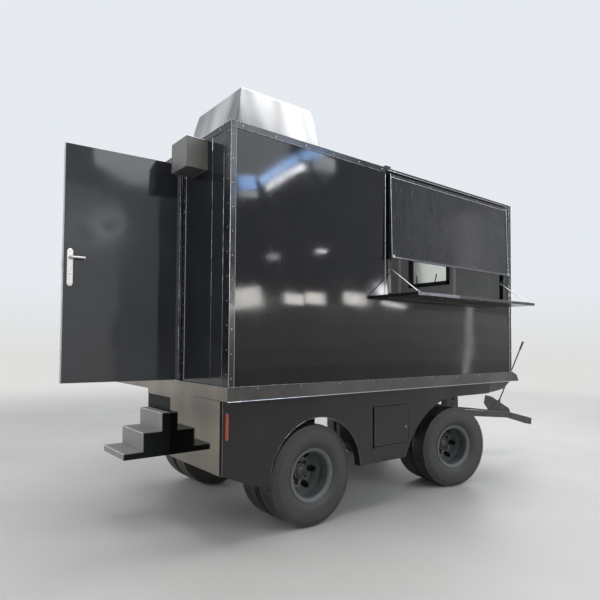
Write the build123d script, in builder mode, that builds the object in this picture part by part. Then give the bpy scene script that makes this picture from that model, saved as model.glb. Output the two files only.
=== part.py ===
from build123d import *
import os
from math import asin, atan, cos, degrees, pi, radians, sin

# Field kitchen trailer: a two-axle full trailer with a black panelled kitchen body.
# Millimetres, +X towards the drawbar, +Z up, ground at z = 0. While the pieces are made,
# x = 0 is the rear face of the body and y = 0 its centreline; right is -Y. Every piece is made
# straight, level and shut, then turned to the way the trailer stands.

# Body
body_l = 3850.0
body_w = 2400.0
floor_z = 1235.0
roof_z = 3200.0
wall_t = 45.0
roof_t = 45.0
floor_t = 40.0
rail_h = 110.0
rail_w = 60.0
rail_out = 10.0
cross_n = 6
cross_w = 60.0

# Bevelled nose under the front of the floor
nose_out = 147.0
nose_brow_out = 100.0
nose_brow_drop = 36.0
nose_lip_h = 7.0
nose_under = 20.0
chin_run = 340.0
chin_h = 125.0
chin_mid_out = 29.0
chin_mid_h = 89.0
chin_back_out = 143.0
chin_back_h = 106.0

# Riveted edge strips
strip_t = 3.0
strip_side = 46.0
strip_end = 95.0

# Rear door
doorway_w = 922.0
door_w = 909.0
door_t = 40.0
door_gap = 6.0
door_hinge_y = -400.0
door_pin_out = 17.0
door_pin_r = 6.0
door_ear_r = 11.0
door_ear_t = 8.0
door_ear_lift = 2.0
hinge_leaf_w = 44.0
hinge_leaf_t = 3.0
door_head = 115.0
door_open = 84.6
handle_w = 45.0
handle_h = 290.0
handle_t = 4.0
handle_in = 30.0
handle_z = 2125.0
lever_rise = 75.0
lever_out = 34.0
lever_bar_l = 115.0
lever_bar_w = 20.0
lever_bar_t = 12.0
lever_boss_r = 11.0

# Serving hatch in the right wall
hatch_front = 170.0
hatch_l = 1940.0
hatch_z0 = 2015.0
hatch_z1 = 3110.0
surround_w = 40.0
surround_t = 4.0
flap_lap_rear = 48.0
flap_lap_front = 12.0
flap_t = 25.0
flap_gap = 6.0
flap_top_z = 3140.0
flap_bottom_z = 2352.0
flap_ajar = 1.5
counter_lap = 105.0
counter_open = 90.0
counter_w = 300.0
counter_t = 25.0
stay_rise = 250.0
stay_r = 5.0
stay_inset = 22.0
stay_foot_l = 24.0
stay_foot_w = 14.0
hatch_pin_r = 7.0
ear_t = 8.0
ear_r = 13.0
ear_gap = 6.0
ear_facets = 12

# Front window
window_y = -43.0
window_w = 657.0
window_h = 480.0
window_z0 = 2346.0
window_frame = 40.0
glass_t = 6.0

# Roof cowl and rear vent box
cowl_x0 = 40.0
cowl_side = 935.0
cowl_margin = 5.0
cowl_h = 360.0
cowl_slope = 125.0
cowl_flange = 40.0
cowl_flange_t = 4.0
cowl_round = 55.0
cowl_sheet = 4.0
cowl_shoulder = 34.0
bed_t = 3.0
flue_side = 520.0
vent_y0 = -845.0
vent_w = 265.0
vent_d = 182.0
vent_h = 235.0
vent_top_z = 3150.0

# Skirts, arches and rear panel
skirt_in = 80.0
skirt_t = 18.0
skirt_z = 455.0
skirt_rear_z = 575.0
skirt_rear_run = 300.0
skirt_band_z = 995.0
arch_r = 500.0
arch_lip = 55.0
arch_lip_t = 6.0
front_arch_back = 1150.0
front_arch_top = 340.0
skirt_left_x0 = 370.0
panel_t = 18.0
reflector_h = 190.0
reflector_w = 26.0
reflector_t = 5.0
reflector_x = 24.0
reflector_z = 840.0
front_arch_end = 12.0
arch_mid_deg = 20.0

# Lockers behind the skirts
locker_x0 = 1590.0
locker_w = 500.0
locker_z0 = 600.0
locker_h = 370.0
locker_d = 420.0
locker_wall = 4.0
locker_gap = 6.0
locker_pin_r = 6.0
locker_pin_out = 8.0
locker_ear_t = 8.0

# Rear stair
stair_y0 = -245.0
stair_w = 495.0
tread_d = 164.0
tread_h = 155.0
stair_bottom_z = 585.0
stair_foot = 50.0
stair_skin = 6.0
kick_h = 132.0
kick_t = 6.0
stair_top_d = 82.0
stair_n = 3

# Chassis
beam_y = 420.0
beam_w = 80.0
beam_h = 130.0
beam_wall = 12.0
bolster_w = 90.0
bolster_h = 100.0
hanger_t = 12.0
hanger_w = 80.0

# Running gear
tyre_r = 432.5
tyre_w = 232.0
tyre_in = 130.0
dual_spacing = 270.0
rim_r = 229.0
bead_r = 203.0
rim_w = 172.0
rim_t = 8.0
wheel_facets = 24
shoulder_drop = 34.0
shoulder_in = 7.0
tread_in = 23.0
disc_t = 12.0
hole_n = 6
hole_r = 30.0
hole_pcr = 142.0
hole_sides = 8
dish_join = 100.0
dish_join_r = 184.0
hub_r = 74.0
hub_out = 62.0
drum_r = 128.0
drum_l = 120.0
drum_gap = 6.0
spindle_r = 30.0
spindle_out = 50.0
spindle_end = 5.0
running_gap = 0.05
axle_h = 90.0
rear_axle_x = 930.0
spring_w = 70.0
spring_l = 940.0
spring_rise = 120.0
leaf_t = 14.0
leaf_n = 4
leaf_step = 105.0
eye_r = 20.0
eye_sides = 8
u_bolt_r = 9.0
u_bolt_x = 62.0
clamp_l = 160.0
clamp_t = 12.0

# Turntable bogie and drawbar
turn_in = 650.0
ring_r = 450.0
ring_w = 90.0
ring_t = 24.0
ring_gap = 6.0
ring_facets = 36
ring_bolster_x = 260.0
frame_y = 400.0
frame_w = 70.0
frame_h = 60.0
frame_x0 = -520.0
frame_x1 = 560.0
frame_cross_x = 300.0
race_t = 12.0
hitch_x = 640.0
hitch_z = 690.0
hitch_y = 330.0
hitch_ear_t = 16.0
hitch_ear_r = 38.0
hitch_gap = 6.0
hitch_pin_r = 18.0
hitch_beam_w = 60.0
hitch_beam_h = 80.0
arm_h = 80.0
arm_w = 60.0
arm_straight = 60.0
arm_join_x = 1850.0
arm_join_y = 50.0
bend_x = 1958.0
tongue_l = 465.0
tongue_w = 90.0
tongue_h = 92.0
tongue_dip = 8.4
drawbar_dip = 6.3
fin_t = 12.0
fin_foot_x = 1504.0
fin_foot_z = 823.0
fin_heel_x = 1518.0
fin_heel_z = 936.0
fin_crest_x = 1636.0
fin_crest_z = 923.0
fin_brow_x = 1980.0
fin_brow_z = 785.0
fin_toe_x = 2017.0
fin_toe_z = 742.0
web_x0 = 1640.0
web_t = 12.0
tow_bore_r = 25.0
tow_bore_in = 70.0
lever_x = 1799.0
lever_z = 856.0
lever_lean = 23.7
lever_l = 999.0
lever_r = 9.0
lever_foot_w = 44.0
lever_foot_h = 90.0
lever_foot_drop = 22.0
lever_foot_t = 20.0
steer = 12.4

# Kitchen inside
range_w = 620.0
range_l = 1350.0
range_h = 800.0
range_x0 = 120.0
range_gap = 10.0
pot_r = 200.0
pot_facets = 24
pot_rise = 60.0
pot_n = 3
bench_x0 = 1800.0
bench_l = 1500.0
bench_d = 560.0
bench_h = 715.0
bench_top = 30.0
bench_leg = 40.0
bench_shelf_z = 180.0
hood_h = 260.0
hood_flare = 400.0
hood_sheet = 4.0

half_w = body_w / 2
chin_x = body_l - chin_run
turn_x = body_l - turn_in
hatch_x1 = body_l - hatch_front
hatch_x0 = hatch_x1 - hatch_l
front_arch_x = turn_x - front_arch_back
front_arch_top_x = turn_x - front_arch_top
skirt_y = half_w - skirt_in
rail_z = floor_z - rail_h
wall_top = roof_z - roof_t
dual_y = half_w - tyre_in - tyre_w / 2 - dual_spacing / 2
beam_z = rail_z - beam_h

pieces = {}


def keep(label, builder):
    pieces[label] = builder.part


# Floor: plate, perimeter rail and cross-members
with BuildPart() as floor:
    with BuildSketch(Plane.XY.offset(floor_z - floor_t)):
        with Locations((body_l / 2, 0)):
            Rectangle(body_l + 2 * rail_out, body_w + 2 * rail_out)
    extrude(amount=floor_t)
    with BuildSketch(Plane.XY.offset(rail_z)):
        with Locations((body_l / 2, 0)):
            Rectangle(body_l + 2 * rail_out, body_w + 2 * rail_out)
            Rectangle(
                body_l + 2 * (rail_out - rail_w), body_w + 2 * (rail_out - rail_w), mode=Mode.SUBTRACT
            )
            with GridLocations(body_l / cross_n, 0, cross_n - 1, 1):
                Rectangle(cross_w, body_w)
    extrude(amount=rail_h - floor_t)
keep("floor", floor)

# Nose: bevelled beam across the front of the floor, and its chin tapering back to the skirts
front_x = body_l + rail_out
with BuildPart() as nose:
    with BuildSketch(Plane.XZ.offset(-half_w - rail_out)):
        with BuildLine():
            Polyline(
                (front_x, floor_z),
                (body_l + nose_brow_out, floor_z - nose_brow_drop),
                (body_l + nose_out, rail_z + nose_lip_h),
                (body_l + nose_out - nose_under, rail_z),
                (front_x, rail_z),
                close=True,
            )
        make_face()
    extrude(amount=body_w + 2 * rail_out)
    with BuildSketch(Plane.XZ.offset(-skirt_y)):
        with BuildLine():
            Polyline(
                (chin_x, rail_z),
                (body_l + nose_out - nose_under, rail_z),
                (body_l - chin_mid_out, rail_z - chin_mid_h),
                (body_l - chin_back_out, rail_z - chin_back_h),
                (chin_x, rail_z - chin_h),
                close=True,
            )
        make_face()
    extrude(amount=2 * skirt_y)
keep("nose", nose)

# Side walls; the right one has the serving hatch
wall_h = wall_top - floor_z
for side, label in ((-1, "wall_right"), (1, "wall_left")):
    with BuildPart() as wall:
        with BuildSketch(Plane.XZ.offset(-side * half_w + (wall_t if side > 0 else 0))):
            with Locations((body_l / 2, floor_z + wall_h / 2)):
                Rectangle(body_l, wall_h)
            if side < 0:
                with Locations(((hatch_x0 + hatch_x1) / 2, (hatch_z0 + hatch_z1) / 2)):
                    Rectangle(hatch_x1 - hatch_x0, hatch_z1 - hatch_z0, mode=Mode.SUBTRACT)
        extrude(amount=-wall_t)
    keep(label, wall)

# Rear wall with the doorway, front wall with the window
door_z1 = roof_z - door_head
leaf_z0, leaf_z1 = floor_z + door_gap, door_z1 - door_gap
ear_zs = (floor_z + door_ear_lift, leaf_z1 + door_gap + door_ear_lift)
with BuildPart() as wall_rear:
    with BuildSketch(Plane.YZ):
        with Locations((0, floor_z + wall_h / 2)):
            Rectangle(body_w - 2 * wall_t, wall_h)
        with Locations((door_hinge_y + doorway_w / 2, (floor_z + door_z1) / 2)):
            Rectangle(doorway_w, door_z1 - floor_z, mode=Mode.SUBTRACT)
    extrude(amount=wall_t)
    for ear_z in ear_zs:
        with BuildSketch(Plane.XY.offset(ear_z)):
            with Locations((-door_pin_out / 2, door_hinge_y - door_ear_r / 2)):
                Rectangle(door_pin_out, door_ear_r)
            with Locations((-door_pin_out, door_hinge_y)):
                RegularPolygon(door_ear_r, ear_facets)
                Circle(door_pin_r + running_gap, mode=Mode.SUBTRACT)
        extrude(amount=door_ear_t)
keep("wall_rear", wall_rear)

with BuildPart() as wall_front:
    with BuildSketch(Plane.YZ.offset(body_l - wall_t)):
        with Locations((0, floor_z + wall_h / 2)):
            Rectangle(body_w - 2 * wall_t, wall_h)
        with Locations((window_y, window_z0 + window_h / 2)):
            Rectangle(window_w, window_h, mode=Mode.SUBTRACT)
    extrude(amount=wall_t)
keep("wall_front", wall_front)

# Roof, with the flue opening under the cowl
cowl_mid = (cowl_x0 + cowl_side / 2, -half_w + cowl_margin + cowl_side / 2)
with BuildPart() as roof:
    with BuildSketch(Plane.XY.offset(wall_top)):
        with Locations((body_l / 2, 0)):
            Rectangle(body_l, body_w)
        with Locations(cowl_mid):
            Rectangle(flue_side, flue_side, mode=Mode.SUBTRACT)
    extrude(amount=roof_t)
keep("roof", roof)

# Edge strips: one riveted frame over the upright corners and the roof's edges
with BuildPart() as edge_strips:
    with Locations((body_l / 2, 0, (floor_z + roof_z + strip_t) / 2)):
        Box(body_l + 2 * strip_t, body_w + 2 * strip_t, roof_z + strip_t - floor_z)
    with Locations((body_l / 2, 0, (floor_z + roof_z) / 2)):
        Box(body_l, body_w, roof_z - floor_z, mode=Mode.SUBTRACT)
    with Locations((body_l / 2, 0, roof_z)):
        Box(body_l - 2 * strip_side, body_w - 2 * strip_side, 4 * strip_t, mode=Mode.SUBTRACT)
    clear_h = roof_z - floor_z - strip_side
    with Locations((body_l / 2, 0, floor_z + clear_h / 2)):
        Box(body_l - 2 * strip_side, body_w + 4 * strip_t, clear_h, mode=Mode.SUBTRACT)
        Box(body_l + 4 * strip_t, body_w - 2 * strip_end, clear_h, mode=Mode.SUBTRACT)
keep("edge_strips", edge_strips)

# Hatch surround on the right wall, with the ears that carry the flap's and the counter's rods
pin_y = half_w + surround_t + flap_gap + hatch_pin_r
flap_x0, flap_x1 = hatch_x0 - flap_lap_rear, hatch_x1 + flap_lap_front
counter_x0, counter_x1 = hatch_x0 + surround_t, hatch_x1 + counter_lap
# rows: rod's rear end, front end, height
rods = [(flap_x0, flap_x1, flap_top_z), (counter_x0, counter_x1, hatch_z0)]
with BuildPart() as hatch_frame:
    with BuildSketch(Plane.XZ.offset(half_w)):
        with Locations(((hatch_x0 + hatch_x1) / 2, (hatch_z0 + hatch_z1) / 2)):
            Rectangle(hatch_x1 - hatch_x0 + 2 * surround_w, hatch_z1 - hatch_z0 + 2 * surround_w)
            Rectangle(hatch_x1 - hatch_x0, hatch_z1 - hatch_z0, mode=Mode.SUBTRACT)
    extrude(amount=surround_t)
    for rod_x0, rod_x1, rod_z in rods:
        for ear_x in (rod_x0 - ear_gap - ear_t, rod_x1 + ear_gap):
            with BuildSketch(Plane.YZ.offset(ear_x)):
                with Locations((-(half_w + pin_y) / 2, rod_z)):
                    Rectangle(pin_y - half_w, 2 * ear_r)
                with Locations((-pin_y, rod_z)):
                    RegularPolygon(ear_r, ear_facets)
                    Circle(hatch_pin_r + running_gap, mode=Mode.SUBTRACT)
            extrude(amount=ear_t)
keep("hatch_frame", hatch_frame)

# Flap: a framed panel hung from a rod along its top edge
rod_reach = ear_gap + ear_t
with BuildPart() as flap:
    with BuildSketch(Plane.XZ.offset(pin_y - hatch_pin_r)):
        with Locations(((flap_x0 + flap_x1) / 2, (flap_top_z + flap_bottom_z) / 2)):
            Rectangle(flap_x1 - flap_x0, flap_top_z - flap_bottom_z)
    extrude(amount=flap_t)
    with BuildSketch(Plane.YZ.offset(flap_x0 - rod_reach)):
        with Locations((-pin_y, flap_top_z)):
            Circle(hatch_pin_r)
    extrude(amount=flap_x1 - flap_x0 + 2 * rod_reach)
keep("flap", flap)

# Counter: a shelf on a rod at the foot of the hatch
with BuildPart() as counter:
    with BuildSketch(Plane.XZ.offset(pin_y - hatch_pin_r)):
        with Locations(((counter_x0 + counter_x1) / 2, hatch_z0 + counter_w / 2)):
            Rectangle(counter_x1 - counter_x0, counter_w)
    extrude(amount=counter_t)
    with BuildSketch(Plane.YZ.offset(counter_x0 - rod_reach)):
        with Locations((-pin_y, hatch_z0)):
            Circle(hatch_pin_r)
    extrude(amount=counter_x1 - counter_x0 + 2 * rod_reach)
keep("counter", counter)

# Stays: straight rods from the counter's outer edge up to the hatch's jambs, made where they stand
stay_foot = (-pin_y - counter_w + stay_foot_l / 2, hatch_z0 + hatch_pin_r + stay_r)
stay_head = (-half_w + wall_t / 2, hatch_z0 + stay_rise)
with BuildPart() as counter_stays:
    for stay_x in (hatch_x0 + stay_inset, hatch_x1 - stay_inset):
        with BuildLine() as stay_line:
            Line((stay_x, *stay_foot), (stay_x, *stay_head))
        with BuildSketch(stay_line.line ^ 0):
            Circle(stay_r)
        sweep(path=stay_line.line)
        with Locations((stay_x, stay_foot[0], hatch_z0 + hatch_pin_r + stay_r)):
            Box(stay_foot_w, stay_foot_l, 2 * stay_r)
keep("counter_stays", counter_stays)

# Front window: frame and pane in the front wall
with BuildPart() as window_ring:
    with BuildSketch(Plane.YZ.offset(body_l - wall_t)):
        with Locations((window_y, window_z0 + window_h / 2)):
            Rectangle(window_w, window_h)
            Rectangle(window_w - 2 * window_frame, window_h - 2 * window_frame, mode=Mode.SUBTRACT)
    extrude(amount=wall_t)
keep("window_frame", window_ring)

with BuildPart() as window_pane:
    with BuildSketch(Plane.YZ.offset(body_l - wall_t / 2 - glass_t / 2)):
        with Locations((window_y, window_z0 + window_h / 2)):
            Rectangle(window_w - 2 * window_frame, window_h - 2 * window_frame)
    extrude(amount=glass_t)
keep("window_pane", window_pane)

# Rear door: leaf with a full-height hinge on its right edge, shut in the doorway
leaf_y0 = door_hinge_y + door_gap
leaf_h = leaf_z1 - leaf_z0
web_z0, web_z1 = ear_zs[0] + door_ear_t + door_gap, ear_zs[1] - 2 * door_gap
with BuildPart() as door:
    with Locations((door_t / 2, leaf_y0 + door_w / 2, (leaf_z0 + leaf_z1) / 2)):
        Box(door_t, door_w, leaf_h)
    with BuildSketch(Plane.XY.offset(web_z0)):
        with BuildLine():
            Polyline(
                (-door_pin_out - door_pin_r, door_hinge_y),
                (-hinge_leaf_t, leaf_y0 + door_pin_out),
                (-hinge_leaf_t, leaf_y0 + hinge_leaf_w),
                (0, leaf_y0 + hinge_leaf_w),
                (0, leaf_y0),
                (-door_pin_out + door_pin_r, door_hinge_y),
                close=True,
            )
        make_face()
    extrude(amount=web_z1 - web_z0)
    with BuildSketch(Plane.XY.offset(ear_zs[0])):
        with Locations((-door_pin_out, door_hinge_y)):
            Circle(door_pin_r)
    extrude(amount=ear_zs[1] + door_ear_t - ear_zs[0])
keep("door", door)

# Door handle: long plate near the free edge and a lever pointing to the hinge
handle_y = leaf_y0 + door_w - handle_in - handle_w / 2
lever_bar_z = handle_z + lever_rise
with BuildPart() as door_handle:
    with Locations((-handle_t / 2, handle_y, handle_z)):
        Box(handle_t, handle_w, handle_h)
    with BuildSketch(Plane.YZ.offset(-handle_t - lever_out)):
        with Locations((handle_y, lever_bar_z)):
            Circle(lever_boss_r)
    extrude(amount=lever_out)
    with Locations((-handle_t - lever_out, handle_y + lever_boss_r - lever_bar_l / 2, lever_bar_z)):
        Box(lever_bar_t, lever_bar_l, lever_bar_w)
keep("door_handle", door_handle)

# Roof cowl: flanged hood of thin sheet with tapered sides and rounded shoulders, open below
hood_side = cowl_side - 2 * cowl_flange
hood_lean = degrees(atan((cowl_slope - cowl_flange) / (cowl_h - bed_t)))
flange_z = roof_z + bed_t
bed_side = cowl_side + cowl_x0 - strip_side
core_side = hood_side - 2 * cowl_sheet
with BuildPart() as cowl_core:
    with BuildSketch(Plane.XY.offset(flange_z)):
        with Locations(cowl_mid):
            RectangleRounded(core_side, core_side, cowl_round)
    extrude(amount=cowl_h - bed_t - cowl_sheet, taper=hood_lean)
    fillet(cowl_core.faces().sort_by(Axis.Z)[-1].edges(), cowl_shoulder)
    with BuildSketch(Plane.XY.offset(roof_z)):
        with Locations(cowl_mid):
            RectangleRounded(core_side, core_side, cowl_round)
    extrude(amount=bed_t)
with BuildPart() as cowl:
    with BuildSketch(Plane.XY.offset(flange_z)):
        with Locations(cowl_mid):
            RectangleRounded(hood_side, hood_side, cowl_round)
    extrude(amount=cowl_h - bed_t, taper=hood_lean)
    fillet(cowl.faces().sort_by(Axis.Z)[-1].edges(), cowl_shoulder)
    with BuildSketch(Plane.XY.offset(roof_z)):
        with Locations((strip_side + bed_side / 2, -half_w + strip_side + bed_side / 2)):
            Rectangle(bed_side, bed_side)
    extrude(amount=bed_t)
    with BuildSketch(Plane.XY.offset(flange_z)):
        with Locations(cowl_mid):
            Rectangle(cowl_side, cowl_side)
    extrude(amount=cowl_flange_t)
    add(cowl_core.part, mode=Mode.SUBTRACT)
keep("cowl", cowl)

# Vent box high on the rear wall
with BuildPart() as vent_box:
    with Locations((-vent_d / 2, vent_y0 + vent_w / 2, vent_top_z - vent_h / 2)):
        Box(vent_d, vent_w, vent_h)
keep("vent_box", vent_box)

# Skirts: side panels with the rear arch, the cut-away for the steered wheels and a locker opening
locker_x1 = locker_x0 + locker_w
locker_z1 = locker_z0 + locker_h
locker_pin_x = locker_x0 + locker_gap + locker_pin_r
arch_rise = skirt_band_z - skirt_z
arch_run = front_arch_top_x - front_arch_x
front_arch_r = (arch_run**2 + arch_rise**2) / (2 * arch_rise)
arch_mid_x = front_arch_top_x - front_arch_r * sin(radians(arch_mid_deg))
arch_mid_z = skirt_band_z - front_arch_r * (1 - cos(radians(arch_mid_deg)))
# rows: side, label, the outline's lower rear corner and the corner above it
skirt_rows = [
    (-1, "skirt_right", (skirt_rear_run, skirt_z), (0, skirt_rear_z)),
    (1, "skirt_left", (skirt_left_x0, skirt_z), (skirt_left_x0, skirt_rear_z)),
]
for side, label, low_corner, rear_corner in skirt_rows:
    with BuildPart() as skirt:
        with BuildSketch(Plane.XZ.offset(-side * skirt_y + (skirt_t if side > 0 else 0))):
            with BuildLine():
                Polyline(
                    (front_arch_x, skirt_z),
                    low_corner,
                    rear_corner,
                    (rear_corner[0], rail_z),
                    (chin_x, rail_z),
                    (chin_x - front_arch_end, skirt_band_z),
                    (front_arch_top_x, skirt_band_z),
                )
                ThreePointArc(
                    (front_arch_top_x, skirt_band_z), (arch_mid_x, arch_mid_z), (front_arch_x, skirt_z)
                )
            make_face()
            with Locations((rear_axle_x, tyre_r)):
                Circle(arch_r, mode=Mode.SUBTRACT)
            with Locations(((locker_x0 + locker_x1) / 2, (locker_z0 + locker_z1) / 2)):
                Rectangle(locker_w, locker_h, mode=Mode.SUBTRACT)
        extrude(amount=-skirt_t)
        with BuildSketch(Plane.XZ.offset(-side * (skirt_y - skirt_t) + (arch_lip if side > 0 else 0))):
            with Locations((rear_axle_x, tyre_r)):
                Circle(arch_r + arch_lip_t)
                Circle(arch_r, mode=Mode.SUBTRACT)
            with Locations((rear_axle_x, skirt_z - arch_r)):
                Rectangle(4 * arch_r, 2 * arch_r, mode=Mode.SUBTRACT)
        extrude(amount=-arch_lip)
        for ear_z in (locker_z0 - locker_ear_t, locker_z1):
            with BuildSketch(Plane.XY.offset(ear_z)):
                with Locations((locker_pin_x, side * (skirt_y + locker_pin_out / 2))):
                    Rectangle(2 * (locker_pin_r + locker_gap), locker_pin_out)
                with Locations((locker_pin_x, side * (skirt_y + locker_pin_out))):
                    RegularPolygon(locker_pin_r + locker_gap, ear_facets)
                    Circle(locker_pin_r + running_gap, mode=Mode.SUBTRACT)
            extrude(amount=locker_ear_t)
    keep(label, skirt)

# Locker doors: flush leaves on a rod at their rear edge
for side, label in ((-1, "locker_door_right"), (1, "locker_door_left")):
    with BuildPart() as locker_door:
        with Locations(
            (
                (locker_x0 + locker_x1) / 2,
                side * (skirt_y - skirt_t / 2),
                (locker_z0 + locker_z1) / 2,
            )
        ):
            Box(locker_w - 2 * locker_gap, skirt_t, locker_h - 2 * locker_gap)
        with BuildSketch(Plane.XY.offset(locker_z0 + locker_gap)):
            with Locations((locker_pin_x, side * (skirt_y + locker_pin_out / 2))):
                Rectangle(2 * locker_pin_r, locker_pin_out)
        extrude(amount=locker_h - 2 * locker_gap)
        with BuildSketch(Plane.XY.offset(locker_z0 - locker_ear_t)):
            with Locations((locker_pin_x, side * (skirt_y + locker_pin_out))):
                Circle(locker_pin_r)
        extrude(amount=locker_h + 2 * locker_ear_t)
    keep(label, locker_door)

# Locker boxes: thin trays open towards the doors
with BuildPart() as locker_boxes:
    for side in (-1, 1):
        with Locations(
            (
                (locker_x0 + locker_x1) / 2,
                side * (skirt_y - skirt_t - locker_d / 2),
                (locker_z0 + locker_z1) / 2,
            )
        ):
            Box(locker_w + 2 * locker_wall, locker_d, locker_h + 2 * locker_wall)
        with Locations(
            (
                (locker_x0 + locker_x1) / 2,
                side * (skirt_y - skirt_t - (locker_d - locker_wall) / 2),
                (locker_z0 + locker_z1) / 2,
            )
        ):
            Box(locker_w, locker_d - locker_wall, locker_h, mode=Mode.SUBTRACT)
keep("locker_boxes", locker_boxes)

# Rear panel from the right skirt to the stair's left side, with the kick plate over the stair
stair_top = stair_bottom_z + stair_foot + (stair_n - 1) * tread_h
panel_y0, panel_y1 = -skirt_y + skirt_t, stair_y0 + stair_w
with BuildPart() as rear_panel:
    with Locations((panel_t / 2, (panel_y0 + panel_y1) / 2, (skirt_rear_z + rail_z) / 2)):
        Box(panel_t, panel_y1 - panel_y0, rail_z - skirt_rear_z)
    with Locations((-kick_t / 2, stair_y0 + stair_w / 2, stair_top + kick_h / 2)):
        Box(kick_t, stair_w, kick_h)
keep("rear_panel", rear_panel)

# Reflectors: upright red strips at the rear ends of the skirts
with BuildPart() as reflectors:
    for side, skirt_x0 in ((-1, 0), (1, skirt_left_x0)):
        with Locations(
            (
                skirt_x0 + reflector_x + reflector_w / 2,
                side * (skirt_y + reflector_t / 2),
                reflector_z + reflector_h / 2,
            )
        ):
            Box(reflector_w, reflector_t, reflector_h)
keep("reflectors", reflectors)

# Rear stair: folded sheet steps with closed cheeks, open towards the panel behind
with BuildPart() as stair:
    for inset, mode in ((0, Mode.ADD), (stair_skin, Mode.SUBTRACT)):
        with BuildSketch(Plane.XZ.offset(-stair_y0 - inset)):
            for step in range(stair_n):
                step_top = stair_bottom_z + stair_foot + step * tread_h
                step_out = stair_top_d + (stair_n - 1 - step) * tread_d
                with Locations(
                    (-(step_out - inset) / 2, (stair_bottom_z + step_top) / 2),
                ):
                    Rectangle(step_out - inset, step_top - stair_bottom_z - 2 * inset)
        extrude(amount=-(stair_w - 2 * inset), mode=mode)
keep("stair", stair)

# Chassis: two box beams, cross bolsters and spring hangers
axle_top = tyre_r + axle_h / 2
pack_top = axle_top + leaf_n * leaf_t
spring_half = spring_l / 2
spring_r = (spring_half**2 + spring_rise**2) / (2 * spring_rise)
beam_x0 = rear_axle_x - spring_half - bolster_w / 2
eye_z = pack_top + spring_rise
clamp_low = tyre_r - axle_h / 2 - clamp_t
clamp_high = pack_top + clamp_t
ring_top = beam_z
ring_low = ring_top - ring_t - ring_gap
frame_top = ring_low - ring_t
bolster_xs = (
    rear_axle_x - spring_half,
    rear_axle_x + spring_half,
    (rear_axle_x + turn_x) / 2,
)
ring_bolster_xs = (turn_x - ring_bolster_x, turn_x + ring_bolster_x)
with BuildPart() as chassis:
    with BuildSketch(Plane.YZ.offset(beam_x0)):
        for side in (-1, 1):
            with Locations((side * beam_y, beam_z + beam_h / 2)):
                Rectangle(beam_w, beam_h)
                Rectangle(beam_w - 2 * beam_wall, beam_h - 2 * beam_wall, mode=Mode.SUBTRACT)
    extrude(amount=chin_x - beam_x0)
    for bolster_x in bolster_xs:
        with Locations((bolster_x, 0, rail_z - bolster_h / 2)):
            Box(bolster_w, 2 * beam_y - beam_w, bolster_h)
    for bolster_x in ring_bolster_xs:
        with Locations((bolster_x, 0, rail_z - beam_h / 2)):
            Box(bolster_w, 2 * beam_y - beam_w, beam_h)
    for side in (-1, 1):
        for end in (-1, 1):
            hanger_x = rear_axle_x + end * spring_half
            with Locations((hanger_x, side * beam_y, beam_z - hanger_t / 2)):
                Box(hanger_w, spring_w + 2 * hanger_t, hanger_t)
            for cheek in (-1, 1):
                cheek_y = side * beam_y + cheek * (spring_w + hanger_t) / 2
                with Locations((hanger_x, cheek_y, (beam_z + eye_z - eye_r) / 2)):
                    Box(hanger_w, hanger_t, beam_z - eye_z + eye_r)
keep("chassis", chassis)

# Turntable ring fixed under the chassis, with a race that centres the bogie's ring
with BuildPart() as turntable:
    with BuildSketch(Plane.XY.offset(ring_top - ring_t)):
        with Locations((turn_x, 0)):
            RegularPolygon(ring_r, ring_facets)
            RegularPolygon(ring_r - ring_w, ring_facets, mode=Mode.SUBTRACT)
    extrude(amount=ring_t)
    with BuildSketch(Plane.XY.offset(ring_low - ring_t + ring_gap)):
        with Locations((turn_x, 0)):
            Circle(ring_r - ring_w + race_t)
            RegularPolygon(ring_r - ring_w, ring_facets, mode=Mode.SUBTRACT)
    extrude(amount=ring_t)
keep("turntable", turntable)

# Axles: square beam with a turned spindle at each end
axle_half = dual_y - disc_t - drum_l - drum_gap
for label, axle_x in (("rear_axle", rear_axle_x), ("front_axle", turn_x)):
    with BuildPart() as axle:
        with Locations((axle_x, 0, tyre_r)):
            Box(axle_h, 2 * axle_half, axle_h)
        with BuildSketch(Plane.XZ.offset(-dual_y - spindle_out)):
            with Locations((axle_x, tyre_r)):
                Circle(spindle_r)
        extrude(amount=2 * (dual_y + spindle_out))
    keep(label, axle)

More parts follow.
